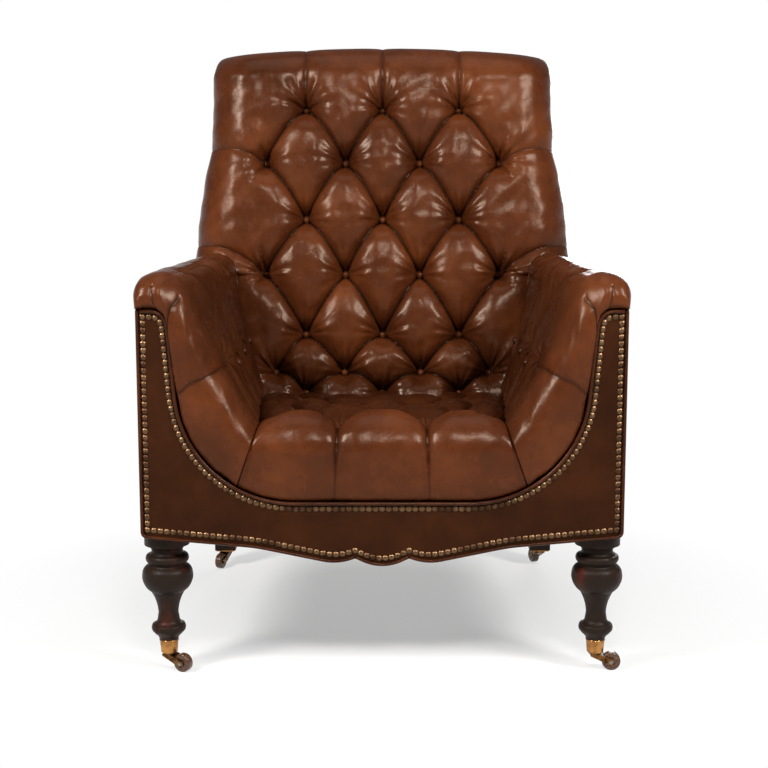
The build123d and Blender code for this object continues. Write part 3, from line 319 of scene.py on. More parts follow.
def diamond_pleats(rows, spread, bow, seed, unevenness=0.003):
    """pleats from row to row, each with its own slight bow, and the buttons that they run between"""
    chance = np.random.default_rng(seed)
    pleats, buttons = [], []
    for k in range(len(rows) - 1):
        for low, high in zip(six_places(*spread[k]), six_places(*spread[k + 1])):
            own_bow = bow + chance.uniform(-unevenness, unevenness)
            pleats.append(bowed((low, rows[k]), (high, rows[k + 1]), own_bow, 1.0))
    for row, (near, far) in zip(rows, spread):
        buttons += [(x, row) for x in sorted(set(six_places(near, far)))]
    return pleats, buttons


# Grids of points, and the meshes made from them
SHORTEST_NORMAL = 1e-9


def sink_along_normal(points, sink):
    """moves a grid of points inwards along its own normals, the cross product of its gradients"""
    normal = np.cross(np.gradient(points, axis=1), np.gradient(points, axis=0))
    normal /= np.maximum(np.linalg.norm(normal, axis=2, keepdims=True), SHORTEST_NORMAL)
    return points - normal * sink[:, :, None]


def smooth_line(control, count):
    """points along a smooth line through control points, evenly in the parameter: a cubic from each to
    the next, whose slope at a point is half the step between its neighbours"""
    ends = np.concatenate([2 * control[:1] - control[1:2], control, 2 * control[-1:] - control[-2:-1]])
    place = np.linspace(0, len(control) - 1, count)
    index = np.minimum(place.astype(int), len(control) - 2)
    t = (place - index).reshape((-1,) + (1,) * (control.ndim - 1))
    a, b, c, d = (ends[index + k] for k in range(4))
    curve = 2 * b + (c - a) * t + (2 * a - 5 * b + 4 * c - d) * t ** 2
    return 0.5 * (curve + (3 * b - a - 3 * c + d) * t ** 3)


def front_roll(rim, first, start, bulge, share_in, turns, tucks, power=1):
    """two quarter ellipses that lead from a pad's first section to the opening's rim: one out to its
    bulge before the panel, and one tucked back to the lip behind it. A point's place is a share of the
    way from the rim to the section, and a power under 1 on sine and cosine squares the first ellipse"""
    turn = np.radians(turns)[:, None]
    tuck = np.radians(tucks)[:, None]
    share = np.concatenate([share_in + (1 - share_in) * np.cos(turn) ** power, share_in * (1 - np.sin(tuck))])
    outwards = start - (start + bulge) * np.sin(turn) ** power
    depth = np.concatenate([outwards, OPENING_LIP - (OPENING_LIP + bulge) * np.cos(tuck)])
    return np.stack([
        rim[:, 0] + (first[:, 0] - rim[:, 0]) * share,
        depth * np.ones(len(rim)),
        rim[:, 1] + (first[:, 2] - rim[:, 1]) * share,
    ], axis=-1)


def run_length(depth, roll, start, step):
    """place of each row along a pad: its depth, then on over the roll by the length of its middle"""
    lengths = np.linalg.norm(np.diff(roll[:, roll.shape[1] // 2], axis=0), axis=1)
    return np.concatenate([depth, start - step - np.concatenate([[0], np.cumsum(lengths)])])


def quads(rows, columns):
    """four-sided faces of a grid, row after row, closed round the rows"""
    i, j = np.meshgrid(np.arange(rows), np.arange(columns - 1), indexing="ij")
    here, after = i * columns + j, (i + 1) % rows * columns + j
    return np.stack([here, here + 1, after + 1, after], axis=-1).reshape(-1, 4)


def closed_tube(points, attribute):
    """a grid closed round its rows, with a fan over each open end round the middle of its ring, as
    points, faces and attribute"""
    rows, columns, _ = points.shape
    faces = quads(rows, columns).tolist()
    flat = points.reshape(-1, 3)
    values = attribute.ravel()
    for column in (0, columns - 1):
        ring = np.arange(rows) * columns + column
        after = np.roll(ring, -1)
        centre = np.full(rows, len(flat))
        flat = np.vstack([flat, flat[ring].mean(axis=0)])
        # the fan's middle point gets the attribute's full value, the darkest painted shade
        values = np.append(values, 1)
        faces += np.stack([ring, after, centre] if column == 0 else [after, ring, centre], axis=-1).tolist()
    return flat, faces, values


def make_piece(name, points, faces, body=None, nodes=(), attributes=None, flip=False):
    """a smooth-shaded mesh piece in its place, riding on a body and standing for CAD nodes"""
    mesh = bpy.data.meshes.new(name)
    mesh.from_pydata(points.tolist(), [], [face[::-1] for face in faces] if flip else faces)
    for label, values in (attributes or {}).items():
        mesh.attributes.new(label, "FLOAT", "POINT").data.foreach_set("value", values.astype(np.float32))
    mesh.polygons.foreach_set("use_smooth", np.ones(len(mesh.polygons), bool))
    mesh.update()
    piece = bpy.data.objects.new(name, mesh)
    bpy.context.scene.collection.objects.link(piece)
    if body:
        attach(piece, body)
    if nodes:
        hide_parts(*nodes)
    return piece


# Materials
WHITE = (1, 1, 1, 1)
WAX_TINT = "#ffdfc4"  # warm light off old wax


def colour(hex_text):
    """linear red, green, blue and alpha of an sRGB hex colour"""
    parts = [int(hex_text[i:i + 2], 16) / 255 for i in (1, 3, 5)]
    return [c / 12.92 if c <= 0.04045 else ((c + 0.055) / 1.055) ** 2.4 for c in parts] + [1]


def shaded(hex_text, share):
    """an sRGB hex colour with each channel times a share"""
    return "#%02x%02x%02x" % tuple(min(255, int(int(hex_text[i:i + 2], 16) * share)) for i in (1, 3, 5))


def cells(millimetres):
    """scale of a noise or cell pattern, whose cells are one over the scale wide, in metres"""
    return 1000 / millimetres


def bands(millimetres):
    """scale of a wave pattern, whose bands are a tenth of pi over the scale apart, in metres"""
    return 100 * math.pi / millimetres


def set_node(tree, node, settings=None, links=None):
    """gives a node its settings and input links. A setting is an input's value, by name or number, an
    attribute, or a colour ramp's stops: places with hex colours or grey levels. A link comes from an
    output, or from a node's first output"""
    for key, value in (settings or {}).items():
        if key == "stops":
            line = node.color_ramp.elements
            while len(line) < len(value):
                line.new(0.5)
            for stop, (place, tone) in zip(line, value):
                stop.position = place
                stop.color = colour(tone) if isinstance(tone, str) else (tone, tone, tone, 1)
        elif isinstance(key, int) or key in node.inputs:
            node.inputs[key].default_value = value
        else:
            setattr(node, key, value)
    for key, source in (links or {}).items():
        tree.links.new(source.outputs[0] if isinstance(source, bpy.types.Node) else source, node.inputs[key])
    return node


def add_node(tree, kind, settings=None, links=None):
    """a new shader node with its settings and input links"""
    return set_node(tree, tree.nodes.new("ShaderNode" + kind), settings, links)


def start_material(name):
    """an empty material, its tree, its shader joined to its output, and the link that lays a pattern by
    the object's coordinates"""
    made = bpy.data.materials.new(name)
    made.use_nodes = True
    tree = made.node_tree
    tree.nodes.clear()
    shader = add_node(tree, "BsdfPrincipled")
    add_node(tree, "OutputMaterial", links={"Surface": shader})
    return made, tree, shader, {"Vector": add_node(tree, "TexCoord").outputs["Object"]}


def aniline_leather(name, tones, folds=False, polish=(0.22, 0.33), level=0.19, coat=0.03):
    """Full-grain aniline leather, drum dyed, waxed and polished by hand: a clear warm brown with darker
    clouds 143 mm across and mottling of 26 mm, and a waxed gloss that is duller where it is worn. Pores
    are drawn 1.6 mm apart, coarser than real ones so that they show. Creases are 12 mm and 38 mm across.
    The specular level is low, because the wax is old and the white studio would veil its colour"""
    made, tree, shader, laid = start_material(name)
    cloud = add_node(tree, "TexNoise", {"Scale": cells(142.857), "Detail": 6.0, "Roughness": 0.62}, laid)
    mottle = add_node(tree, "TexNoise", {"Scale": cells(26.3158), "Detail": 5.0, "Roughness": 0.7}, laid)
    both = add_node(tree, "Mix", {"data_type": "FLOAT", "Factor": 0.22}, {2: cloud, 3: mottle})
    dye = [(0.28, tones[2]), (0.5, tones[1]), (0.7, tones[0])]
    dyed = add_node(tree, "ValToRGB", {"stops": dye}, {0: both})
    # painted shade: the pad's fold attribute mixes the dye towards the dark hide in folds, by buttons and in
    # hollows, and the mix called waxed carries it
    if folds:
        fold = add_node(tree, "Attribute", {"attribute_name": "fold"})
        depth = add_node(tree, "ValToRGB", {"stops": [(0.05, 0.0), (0.9, 0.92)]}, {0: fold.outputs["Fac"]})
        waxed = add_node(tree, "Mix", {"data_type": "RGBA", 7: colour(tones[3])}, {0: depth, 6: dyed})
        dyed = waxed.outputs[2]
    gloss = add_node(tree, "ValToRGB", {"stops": [(0.35, polish[0]), (0.65, polish[1])]}, {0: both})
    pores = add_node(tree, "TexVoronoi", {"Scale": cells(1.6129)}, laid)
    pits = add_node(tree, "ValToRGB", {"stops": [(0.1, 1.0), (0.7, 0.0)]}, {0: pores})
    wrinkle = add_node(tree, "TexNoise", {"Scale": cells(11.7647), "Detail": 4.0, "Distortion": 1.6}, laid)
    waves = add_node(tree, "TexNoise", {"Scale": cells(38.4615), "Detail": 2.0, "Distortion": 0.8}, laid)
    fine = add_node(tree, "Bump", {"Strength": 0.1, "Distance": 0.0005}, {"Height": pits})
    both_heights = {"Height": wrinkle, "Normal": fine}
    middle = add_node(tree, "Bump", {"Strength": 0.16, "Distance": 0.002}, both_heights)
    all_heights = {"Height": waves, "Normal": middle}
    broad = add_node(tree, "Bump", {"Strength": 0.22, "Distance": 0.005}, all_heights)
    shine = {"IOR": 1.5, "Specular IOR Level": level, "Specular Tint": colour(WAX_TINT)}
    shine |= {"Coat Weight": coat, "Coat Roughness": 0.2}
    set_node(tree, shader, shine, {"Base Color": dyed, "Roughness": gloss, "Normal": broad})
    return made


def ebonised_wood(name, black, red):
    """Turned hardwood, stained black and waxed: red wood shows in rubbed patches of 33 mm. Its grain is
    4.8 mm across and drawn out to over three times that along the leg"""
    made, tree, shader, laid = start_material(name)
    laid = {"Vector": add_node(tree, "Mapping", {"Scale": (1.0, 1.0, 0.28)}, laid)}
    wear = add_node(tree, "TexNoise", {"Scale": cells(33.3333), "Detail": 7.0, "Roughness": 0.66}, laid)
    grain = add_node(tree, "TexNoise", {"Scale": cells(4.7619), "Detail": 3.0}, laid)
    worn = add_node(tree, "ValToRGB", {"stops": [(0.56, 0.0), (0.68, 0.7)]}, {0: wear})
    mixed = add_node(tree, "Mix", {"data_type": "RGBA", 6: colour(black), 7: colour(red)}, {0: worn})
    waxed = add_node(tree, "ValToRGB", {"stops": [(0.3, 0.34), (0.7, 0.55)]}, {0: grain})
    scratch = add_node(tree, "Bump", {"Strength": 0.25, "Distance": 0.001}, {"Height": grain})
    set_node(tree, shader, {"Specular IOR Level": 0.12},
             {"Base Color": mixed.outputs[2], "Roughness": waxed, "Normal": scratch})
    return made


def bare_hardwood(name, tone):
    """Sawn beech of a hidden frame, unfinished: pale and matt, with bands of grain 5.2 mm apart"""
    made, tree, shader, laid = start_material(name)
    rings = add_node(tree, "TexWave", {"Scale": bands(5.23599), "Distortion": 5.0, "Detail": 3.0}, laid)
    stops = [(0.2, tone), (0.9, shaded(tone, 0.7))]
    grain = add_node(tree, "ValToRGB", {"stops": stops}, {0: rings.outputs[1]})
    set_node(tree, shader, {"Roughness": 0.65}, {"Base Color": grain})
    return made


def old_metal(name, tone, shadow, low, high, patch=6.25):
    """Cast or stamped metal that has been handled: bright and smooth where rubbed, brown and duller in
    patches of tarnish, whose size is given in millimetres"""
    made, tree, shader, laid = start_material(name)
    tarnish = add_node(tree, "TexNoise", {"Scale": cells(patch), "Detail": 2.0, "Roughness": 0.5}, laid)
    tint = add_node(tree, "ValToRGB", {"stops": [(0.36, shadow), (0.6, tone)]}, {0: tarnish})
    dull = add_node(tree, "ValToRGB", {"stops": [(0.35, high), (0.65, low)]}, {0: tarnish})
    dents = add_node(tree, "Bump", {"Strength": 0.15, "Distance": 0.0005}, {"Height": tarnish})
    set_node(tree, shader, {"Metallic": 1.0}, {"Base Color": tint, "Roughness": dull, "Normal": dents})
    return made


def woven_cloth(name, tone, thread):
    """Plain-woven cloth: crossed bands of threads, whose spacing is given in millimetres, matt with a
    soft sheen. The cambric's threads are drawn coarser than real ones, so that they show"""
    made, tree, shader, laid = start_material(name)
    warp = add_node(tree, "TexWave", {"Scale": bands(thread), "bands_direction": "X"}, laid)
    weft = add_node(tree, "TexWave", {"Scale": bands(thread), "bands_direction": "Y"}, laid)
    crossed = {2: warp.outputs[1], 3: weft.outputs[1]}
    weave = add_node(tree, "Mix", {"data_type": "FLOAT", "Factor": 0.5}, crossed)
    threads = add_node(tree, "ValToRGB", {"stops": [(0.2, shaded(tone, 0.6)), (0.7, tone)]}, {0: weave})
    bump = add_node(tree, "Bump", {"Strength": 0.5, "Distance": 0.0006}, {"Height": weave})
    set_node(tree, shader, {"Roughness": 0.85, "Sheen Weight": 0.2}, {"Base Color": threads, "Normal": bump})
    return made


def wheel_composition(name, tone):
    """Moulded composition of a caster wheel: dark and close, with specks of 4.2 mm, slightly polished
    by use"""
    made, tree, shader, laid = start_material(name)
    speck = add_node(tree, "TexNoise", {"Scale": cells(4.16667), "Detail": 4.0}, laid)
    specked = add_node(tree, "ValToRGB", {"stops": [(0.4, tone), (0.72, shaded(tone, 1.7))]}, {0: speck})
    worn = add_node(tree, "ValToRGB", {"stops": [(0.3, 0.2), (0.7, 0.36)]}, {0: speck})
    set_node(tree, shader, links={"Base Color": specked, "Roughness": worn})
    return made


def hide_tones(context):
    """the hide's colours from rubbed to dark, the darkest also the painted shade in the pads' folds and
    hollows
    """
    c = context.scene.club_chair_colours
    return c.hide_light, c.hide_mid, c.hide_cloud, c.hide_dark_and_fold_shade


def finish_nodes(names, material):
    """gives carried-over CAD pieces their finish"""
    for name in names:
        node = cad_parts[name]
        node.data.materials.clear()
        node.data.materials.append(material)


def finish_pad(pad, material):
    pad.data.materials.append(material)


# Back pad, in metres: the heights of its rows of buttons, and how far out each row's nearer and farther
# buttons are, where a nearer of 0 means one button in the middle
BACK_ROWS = [0.388, 0.428, 0.503, 0.622, 0.731, 0.843, 0.95]
BACK_THREE, BACK_FOUR = (0, 0.153), (0.074, 0.236)
BACK_NEAR_FAR = [BACK_THREE, (0.076, 0.214), BACK_THREE, BACK_FOUR, BACK_THREE, BACK_FOUR, BACK_THREE]
# Pleats from a row's outer buttons out to the sides: where each ends, its bow and its strength
BACK_SIDE_PLEATS = [
    (5, (0.375, 0.85), 0.02, 0.42),
    (3, (0.385, 0.668), 0.024, 0.5),
    (1, (0.32, 0.41), 0, 0.6),
]
TOP_PLEAT_END = 1.2  # past the top, so that these pleats run over it
TOP_PLEAT_SPREAD_SHARE, TOP_PLEAT_STRENGTH = 1.02, 0.62
BACK_PAD_FOOT = 0.302
BACK_GIRTH = 0.76  # length across, which sets how many columns the mesh has
BACK_CROWDING_SHARE = 0.35  # how much the columns crowd towards the sides
TOP_TURNS = np.linspace(4, 90, 26)  # degrees round the rolled top
TOP_ROLL, REAR_ROLL_SHARE = 0.06, 0.67  # how far the top rolls back in front, and its share behind
TOP_DRAW_IN = 0.018  # how much narrower the top ends
TOP_SAG = 0.0165  # how far its corners drop
SIDE_ROUND = 0.085  # width over which the sides round back
SIDE_SETBACK, LOW_SIDE_SETBACK = 0.045, 0.026  # how far they go back, over the arms and between them
BACK_COVER_GAP = 0.0046  # between pad and outside back
BACK_LEAST_THICKNESS = 0.02
BUTTON_STANDOFF = 0.048  # from the plane of the rows to the leather, which shifts heights on the rake
BACK_SIDE_FADE_SHARE, BACK_TOP_FADE_SHARE = 0.75, 0.82  # how much of the tufting is lost there
BACK_REAR_COLUMNS, BACK_SIDE_COLUMNS = 15, 12
BACK_REAR_DRAW_IN = 0.016  # the rear edge is narrower than the front, above the arms
BACK_SIDE_SWELL = 0.009
BACK_LID_SHARES = (0.5, 0.85, 0.998, 1)  # rows that close the top, as shares of the way to its middle
HOLLOW_SHADE_SHARE = 0.42  # darkness of the painted shade in the hollows: the back's lower part and the arms' inner faces
BACK_SIDE_SHADE_SHARE = 0.5  # the painted shade of the folds is this much weaker at the sides


def back_pleats():
    """the back's diamond pleats and buttons, its straight pleats over the top and those to the sides"""
    pleats, buttons = diamond_pleats(BACK_ROWS, BACK_NEAR_FAR, bow=0.011, seed=31)
    outer = BACK_THREE[1]
    for x in (-outer, 0, outer):
        end = (x * TOP_PLEAT_SPREAD_SHARE, TOP_PLEAT_END)
        pleats.append(bowed((x, BACK_ROWS[-1]), end, 0, TOP_PLEAT_STRENGTH, chords=1))
    for side in (-1, 1):
        for row, (end_x, end_z), bow, strength in BACK_SIDE_PLEATS:
            start = (side * BACK_NEAR_FAR[row][1], BACK_ROWS[row])
            pleats.append(bowed(start, (side * end_x, end_z), bow, strength))
    return pleats, buttons


class CLUBCHAIR_OT_back_pad(bpy.types.Operator):
    """Deep-buttoned back: a raked plane rolled over at the top and sides, sunk along its pleats, closed
    by straight sides that swell by half a sine, a flat rear and a lid"""
    bl_idname = "clubchair.back_pad"
    bl_label = "Buttoned back"

    def execute(self, context):
        s = context.scene.club_chair_sizes
        rise = np.arange(BACK_PAD_FOOT, s.back_round, s.step)
        turn = np.radians(TOP_TURNS)
        heights = np.concatenate([rise, s.back_round + (s.back_top - s.back_round) * np.sin(turn)])
        roll_in = np.concatenate([np.zeros(len(rise)), TOP_ROLL * (1 - np.cos(turn))])[:, None]
        across = np.linspace(-1, 1, int(BACK_GIRTH / s.step))
        across = np.sin(across * math.pi / 2) * BACK_CROWDING_SHARE + across * (1 - BACK_CROWDING_SHARE)
        u, z = np.meshgrid(across, heights)
        top = climb(z, s.back_round, s.back_top - s.back_round)
        half = back_half(s, z) - TOP_DRAW_IN * quarter_round(top)
        x = u * half
        edge = climb(np.abs(x), half - SIDE_ROUND, SIDE_ROUND)
        setback = np.where(z > s.back_step, s.back_crown + SIDE_SETBACK, LOW_SIDE_SETBACK)
        rear_y = back_face(s, z) - BACK_COVER_GAP - roll_in * REAR_ROLL_SHARE
        front_y = tuft_face(s, z) - s.back_crown + roll_in + setback * quarter_round(edge)
        front_y = np.minimum(front_y, rear_y - BACK_LEAST_THICKNESS)
        points = np.stack([x, front_y, z - TOP_SAG * u ** 2 * top], axis=-1)

        pleats, buttons = back_pleats()
        level = z - BUTTON_STANDOFF * math.sin(s.rake)
        sink, fold = tufting(x, level, pleats, buttons, gap=0.042, crown=s.back_crown, pit=0.018, seed=3)
        uneven = slack(x, z, seed=5, size=0.0018) + slack(x, z, seed=6, size=0.0014, waves=FINE_WAVES)
        sink = sink * (1 - BACK_SIDE_FADE_SHARE * edge ** 3) * (1 - BACK_TOP_FADE_SHARE * top)
        front = sink_along_normal(points, sink + uneven * (1 - top))

        above = (z[:, :1] > s.back_step) * 1.0
        v, _ = np.meshgrid(np.linspace(1, -1, BACK_REAR_COLUMNS), heights)
        rear_z = z[:, :1] - TOP_SAG * v ** 2 * top[:, :1]
        rear_x = v * (half[:, :1] - BACK_REAR_DRAW_IN * above)
        rear = np.stack([rear_x, rear_y[:, :1] + 0 * v, rear_z], axis=-1)
        t = np.linspace(0, 1, BACK_SIDE_COLUMNS)[None, 1:-1, None]
        outwards = np.concatenate([above * (1 - top[:, :1]), 0 * above, 0 * above], axis=1)[:, None, :]
        swell = outwards * BACK_SIDE_SWELL * np.sin(t * math.pi)
        right = front[:, -1:] * (1 - t) + rear[:, :1] * t + swell
        left = rear[:, -1:] * (1 - t) + front[:, :1] * t - swell
        points = np.concatenate([front, right, rear, left], axis=1)
        middle = (points[-1, :, 1].min() + points[-1, :, 1].max()) / 2
        lids = [points[-1] * [1, 1 - share, 1] + [0, middle * share, 0] for share in BACK_LID_SHARES]
        points = np.concatenate([points, np.array(lids)]) + [0, FRONT, 0]

        values = np.zeros(points.shape[:2])
        # painted shade: the back is darker towards the bottom, fully below 0.4 m
        hollow_shade = HOLLOW_SHADE_SHARE * climb(z, start=0.6, run=-0.2)
        fold = fold * (1 - BACK_SIDE_SHADE_SHARE * edge ** 3)
        values[:len(fold), :len(across)] = np.maximum(fold, hollow_shade)
        flat, faces, values = closed_tube(points.transpose(1, 0, 2), values.T)
        pad = make_piece("Buttoned_back", flat, faces, "chair", ["back_pad"], {"fold": values},
                         flip=True)
        finish_pad(pad, aniline_leather("Aniline leather, back", hide_tones(context), folds=True))
        return {"FINISHED"}


# Front opening, in metres, which seat and arms roll on to
RIM_INSET = 0.0035  # clear of the opening's piping
OPENING_LIP = 0.003  # depth of the rim behind the panel's face
BOWL_ANGLES = np.radians(np.linspace(0, 90, 2000))


def bowl_angle(s):
    """angle below level at which the plane between seat and arm crosses the opening's corner circle:
    the one of many angles where the two half widths differ least"""
    reach = s.opening_radius - RIM_INSET
    x = s.bowl_x + reach * np.cos(BOWL_ANGLES)
    z = s.opening_foot + s.opening_radius - reach * np.sin(BOWL_ANGLES)
    return float(BOWL_ANGLES[np.argmin(np.abs(x - crease_half(s, 0, z)))])


# Seat pad, in metres: its rows of buttons by depth, as on the back
SEAT_ROWS = [0.075, 0.2, 0.325, 0.45]
SEAT_FOUR, SEAT_THREE = (0.071, 0.182), (0, 0.135)
SEAT_NEAR_FAR = [SEAT_FOUR, SEAT_THREE, SEAT_FOUR, SEAT_THREE]
SEAT_FRONT_PLEAT_END = (0.08, -0.2)  # past the lip, so that these pleats run down the front
SEAT_REAR_PLEAT_END, SEAT_REAR_STRENGTH = 0.56, 0.8
SEAT_REAR_PLEATS = [(0.135, 0.18), (0, 0.07), (0.135, 0.09)]  # from and to these half widths
SEAT_GIRTH = 0.46  # width, which sets how many columns the mesh has
SEAT_FOOT_GAP, SEAT_SIDE_GAP, SEAT_UNDER_GAP = 0.001, 0.0004, 0.001  # clear of the arms
SEAT_EDGE_DROP = 0.026  # how far its sides round down
SEAT_ROLL = 0.062  # depth where the roll over the front starts
SEAT_BACK_GAP = 0.03
SEAT_ROW_SHIFT = 0.0036
SEAT_EDGE_FADE_SHARE = 0.8
SEAT_HOLLOW = 0.009  # sat-in dip behind the roll
SEAT_NOTCH, SEAT_NOTCH_X = 0.007, 0.073  # where the front pleats cross the roll
SEAT_LIP_SHARE = 0.15  # how much of the tufting is left at the lip
SEAT_UNDER_LIFT, SEAT_UNDERSIDE = 0.004, 0.331  # underside: behind the lip, and over the springs
SEAT_UNDER_FIRST = 0.012
# painted shade on the seat's top behind its front roll
SEAT_TOP_SHADE_SHARE = 0.5


def seat_pleats():
    """the seat's diamond pleats and buttons, its two front pleats and the short ones behind"""
    pleats, buttons = diamond_pleats(SEAT_ROWS, SEAT_NEAR_FAR, bow=0.004, seed=32)
    for side in (-1, 1):
        start = (side * SEAT_FOUR[0], SEAT_ROWS[0])
        end = (side * SEAT_FRONT_PLEAT_END[0], SEAT_FRONT_PLEAT_END[1])
        pleats.append(bowed(start, end, bow=0, strength=1.0, last=0.2, chords=16))
        for start_x, end_x in SEAT_REAR_PLEATS:
            start = (side * start_x, SEAT_ROWS[-1])
            pleats.append(bowed(start, (side * end_x, SEAT_REAR_PLEAT_END), 0, SEAT_REAR_STRENGTH, chords=1))
    return pleats, buttons


class CLUBCHAIR_OT_seat_pad(bpy.types.Operator):
    """Buttoned seat: a shallow crowned surface that rolls over an ellipse to the front opening, with a
    flat underside over the springs"""
    bl_idname = "clubchair.seat_pad"
    bl_label = "Buttoned seat"

    def execute(self, context):
        s = context.scene.club_chair_sizes
        reach = s.opening_radius - RIM_INSET
        foot_x = s.bowl_x + reach * math.cos(bowl_angle(s)) - SEAT_FOOT_GAP
        u = np.linspace(-1, 1, int(SEAT_GIRTH / s.step))
        rim_x = u * foot_x
        over = np.clip(np.abs(rim_x) - s.bowl_x, 0, reach)
        rim_z = s.opening_foot + s.opening_radius - np.sqrt(reach ** 2 - over ** 2)
        edge = climb(np.abs(u), start=0.8, run=0.2)
        end = tuft_face(s, s.crease_height) - SEAT_BACK_GAP
        depth = np.arange(end, SEAT_ROLL, -s.step)[:, None]
        share = depth / tuft_face(s, s.seat_rear)
        crown_z = blend(s.seat_front, s.seat_rear, share) + s.seat_crown
        crown_z = crown_z - SEAT_EDGE_DROP * quarter_round(edge)
        top_x = u * (crease_half(s, depth, crown_z) - SEAT_SIDE_GAP)
        top = np.stack([top_x, depth + 0 * u, crown_z], axis=-1)
        rim = np.stack([rim_x, rim_z], axis=-1)
        roll = front_roll(rim, top[-1], SEAT_ROLL, bulge=0.006, share_in=0.52,
                          turns=np.linspace(2, 90, 34), tucks=np.linspace(4, 90, 26))
        base = np.concatenate([top, roll])
        x = base[:, :, 0]
        v = run_length(depth[:, 0], roll, SEAT_ROLL, s.step)[:, None] + 0 * u

        pleats, buttons = seat_pleats()
        level = v + SEAT_ROW_SHIFT
        sink, fold = tufting(x, level, pleats, buttons, gap=0.046, crown=s.seat_crown, pit=0.012, seed=11)
        side = 1 - SEAT_EDGE_FADE_SHARE * edge ** 3
        sink = sink * side + slack(x, v, seed=8, size=0.0016)
        sink = sink + slack(x, v, seed=9, size=0.0007, waves=FINE_WAVES)
        sink = sink + SEAT_HOLLOW * bell(v, reach=0.035, at=0.12)
        notch = SEAT_NOTCH * fade(np.abs(np.abs(x) - SEAT_NOTCH_X), reach=0.012)
        sink = sink + notch * bell(v, reach=0.03, at=0.035)
        lip = np.maximum(climb(v, start=-0.1, run=0.05), SEAT_LIP_SHARE)
        body = sink_along_normal(base, -sink * lip)

        behind_lip = np.maximum(rim_z, s.opening_foot + SEAT_UNDER_LIFT)
        over_springs = SEAT_UNDERSIDE + 0 * u
        under = []
        for place, flat_z in ((SEAT_UNDER_FIRST, behind_lip), (SEAT_ROLL, over_springs), (end, over_springs)):
            width = crease_half(s, place, flat_z) - SEAT_UNDER_GAP
            under.append(np.stack([u * np.minimum(width, foot_x), place + 0 * u, flat_z], axis=-1))
        points = np.concatenate([body, np.array(under)]) + [0, FRONT, 0]

        # painted shade: the seat's top is darker behind its front roll, and its underside rows are fully dark
        hollow_shade = SEAT_TOP_SHADE_SHARE * climb(v, start=0.05, run=0.07)
        fold = np.concatenate([np.maximum(fold * side, hollow_shade), np.ones((len(under), len(u)))])
        flat, faces, values = closed_tube(points, fold)
        pad = make_piece("Buttoned_seat", flat, faces, "chair", ["seat_pad"], {"fold": values},
                         flip=True)
        finish_pad(pad, aniline_leather("Aniline leather, seat", hide_tones(context), folds=True))
        return {"FINISHED"}


# Arm pads, in metres. Folds, as lengths from the crease up and from the front back, and their strength
ARM_FOLDS = [
    ([(0.1, 0.13), (0.105, 0.08), (0.111, 0.038), (0.12, 0.011), (0.132, -0.008), (0.152, -0.028),
      (0.18, -0.051), (0.215, -0.078), (0.252, -0.104)], 0.75),
    ([(0.115, 0.3), (0.16, 0.285), (0.2115, 0.25), (0.25, 0.192), (0.28, 0.13), (0.31, 0.1),
      (0.37, 0.09)], 0.7),
    ([(0.115, 0.45), (0.2, 0.42), (0.265, 0.345), (0.29, 0.3), (0.31, 0.265), (0.37, 0.25)], 0.7),
    ([(0.2, 0.56), (0.26, 0.48), (0.3, 0.43), (0.37, 0.41)], 0.6),
    ([(0.318, -0.012), (0.327, -0.046), (0.35, -0.11)], 0.7),
    ([(0.262, 0.002), (0.28, -0.03), (0.291, -0.066), (0.3, -0.11)], 0.8),
]
ARM_BUTTON_UP, ARM_BUTTON_PLACES = 0.115, (0.15, 0.3, 0.45)
ARM_PLEAT_SPREAD = 0.075  # how far before and behind its button a pleat meets the crease
# Rim of the opening above its corner circle, as half widths and heights, and where the circle ends
ARM_RIM = [(0.3375, 0.54), (0.342, 0.587), (0.3505, 0.604), (0.3679, 0.6125), (0.391, 0.6125)]
ARM_BOWL_END, ARM_BOWL_POINTS = math.radians(4.9), 4
ARM_GIRTH = 0.52  # length round a section, which sets how many points it has
ARM_END = 0.648  # depth of the pad's rear end
CREASE_TUCK = 0.03  # how far the pad reaches down beside the seat
SHOULDER_Z = 0.645  # top of the inner face
SHOULDER_FRONT_X, SHOULDER_REAR_X = 0.318, 0.292
HOLLOW_FRONT, HOLLOW_REAR = 0.008, 0.006  # how hollow the inner face is
HOLLOW_SHARES = (0.33, 0.66)
HOLLOW_ACROSS_SHARE, HOLLOW_DOWN_SHARE = 0.84, 0.54  # its direction, square to the inner face
RIDGE_INSET = 0.03  # from the outside to the ridge
CAP_Z, CAP_SHIFT = 0.664, 0.002  # half way between shoulder and ridge
CAP_OUT = [(-0.001, 0.659), (0.0095, 0.637)]  # over the outer edge: past the body's side, and height
LIP_OUT = 0.003
ARM_BACK_GAP = 0.0374  # between the arm and the plane of the back's buttons
ARM_BESIDE_BACK_X, ARM_BESIDE_BACK_REACH = 0.304, 0.1  # outside this the arm runs on beside the back
ARM_LIP_SHARE = 0.1  # how much of the tufting is left at the lip
ARM_INSIDE_X, ARM_INSIDE_PLACES = 0.338, (0.02, 0.3, 0.55)  # rows that close the pad on its frame side


def arm_rim(s, count):
    """rim that the right arm rolls on to: the opening's corner circle, then up to its outer top"""
    reach = s.opening_radius - RIM_INSET
    bowl_z = s.opening_foot + s.opening_radius
    turns = np.linspace(bowl_angle(s), ARM_BOWL_END, ARM_BOWL_POINTS)
    circle = [(s.bowl_x + reach * math.cos(a), bowl_z - reach * math.sin(a)) for a in turns]
    return smooth_line(np.array(circle + ARM_RIM), count)


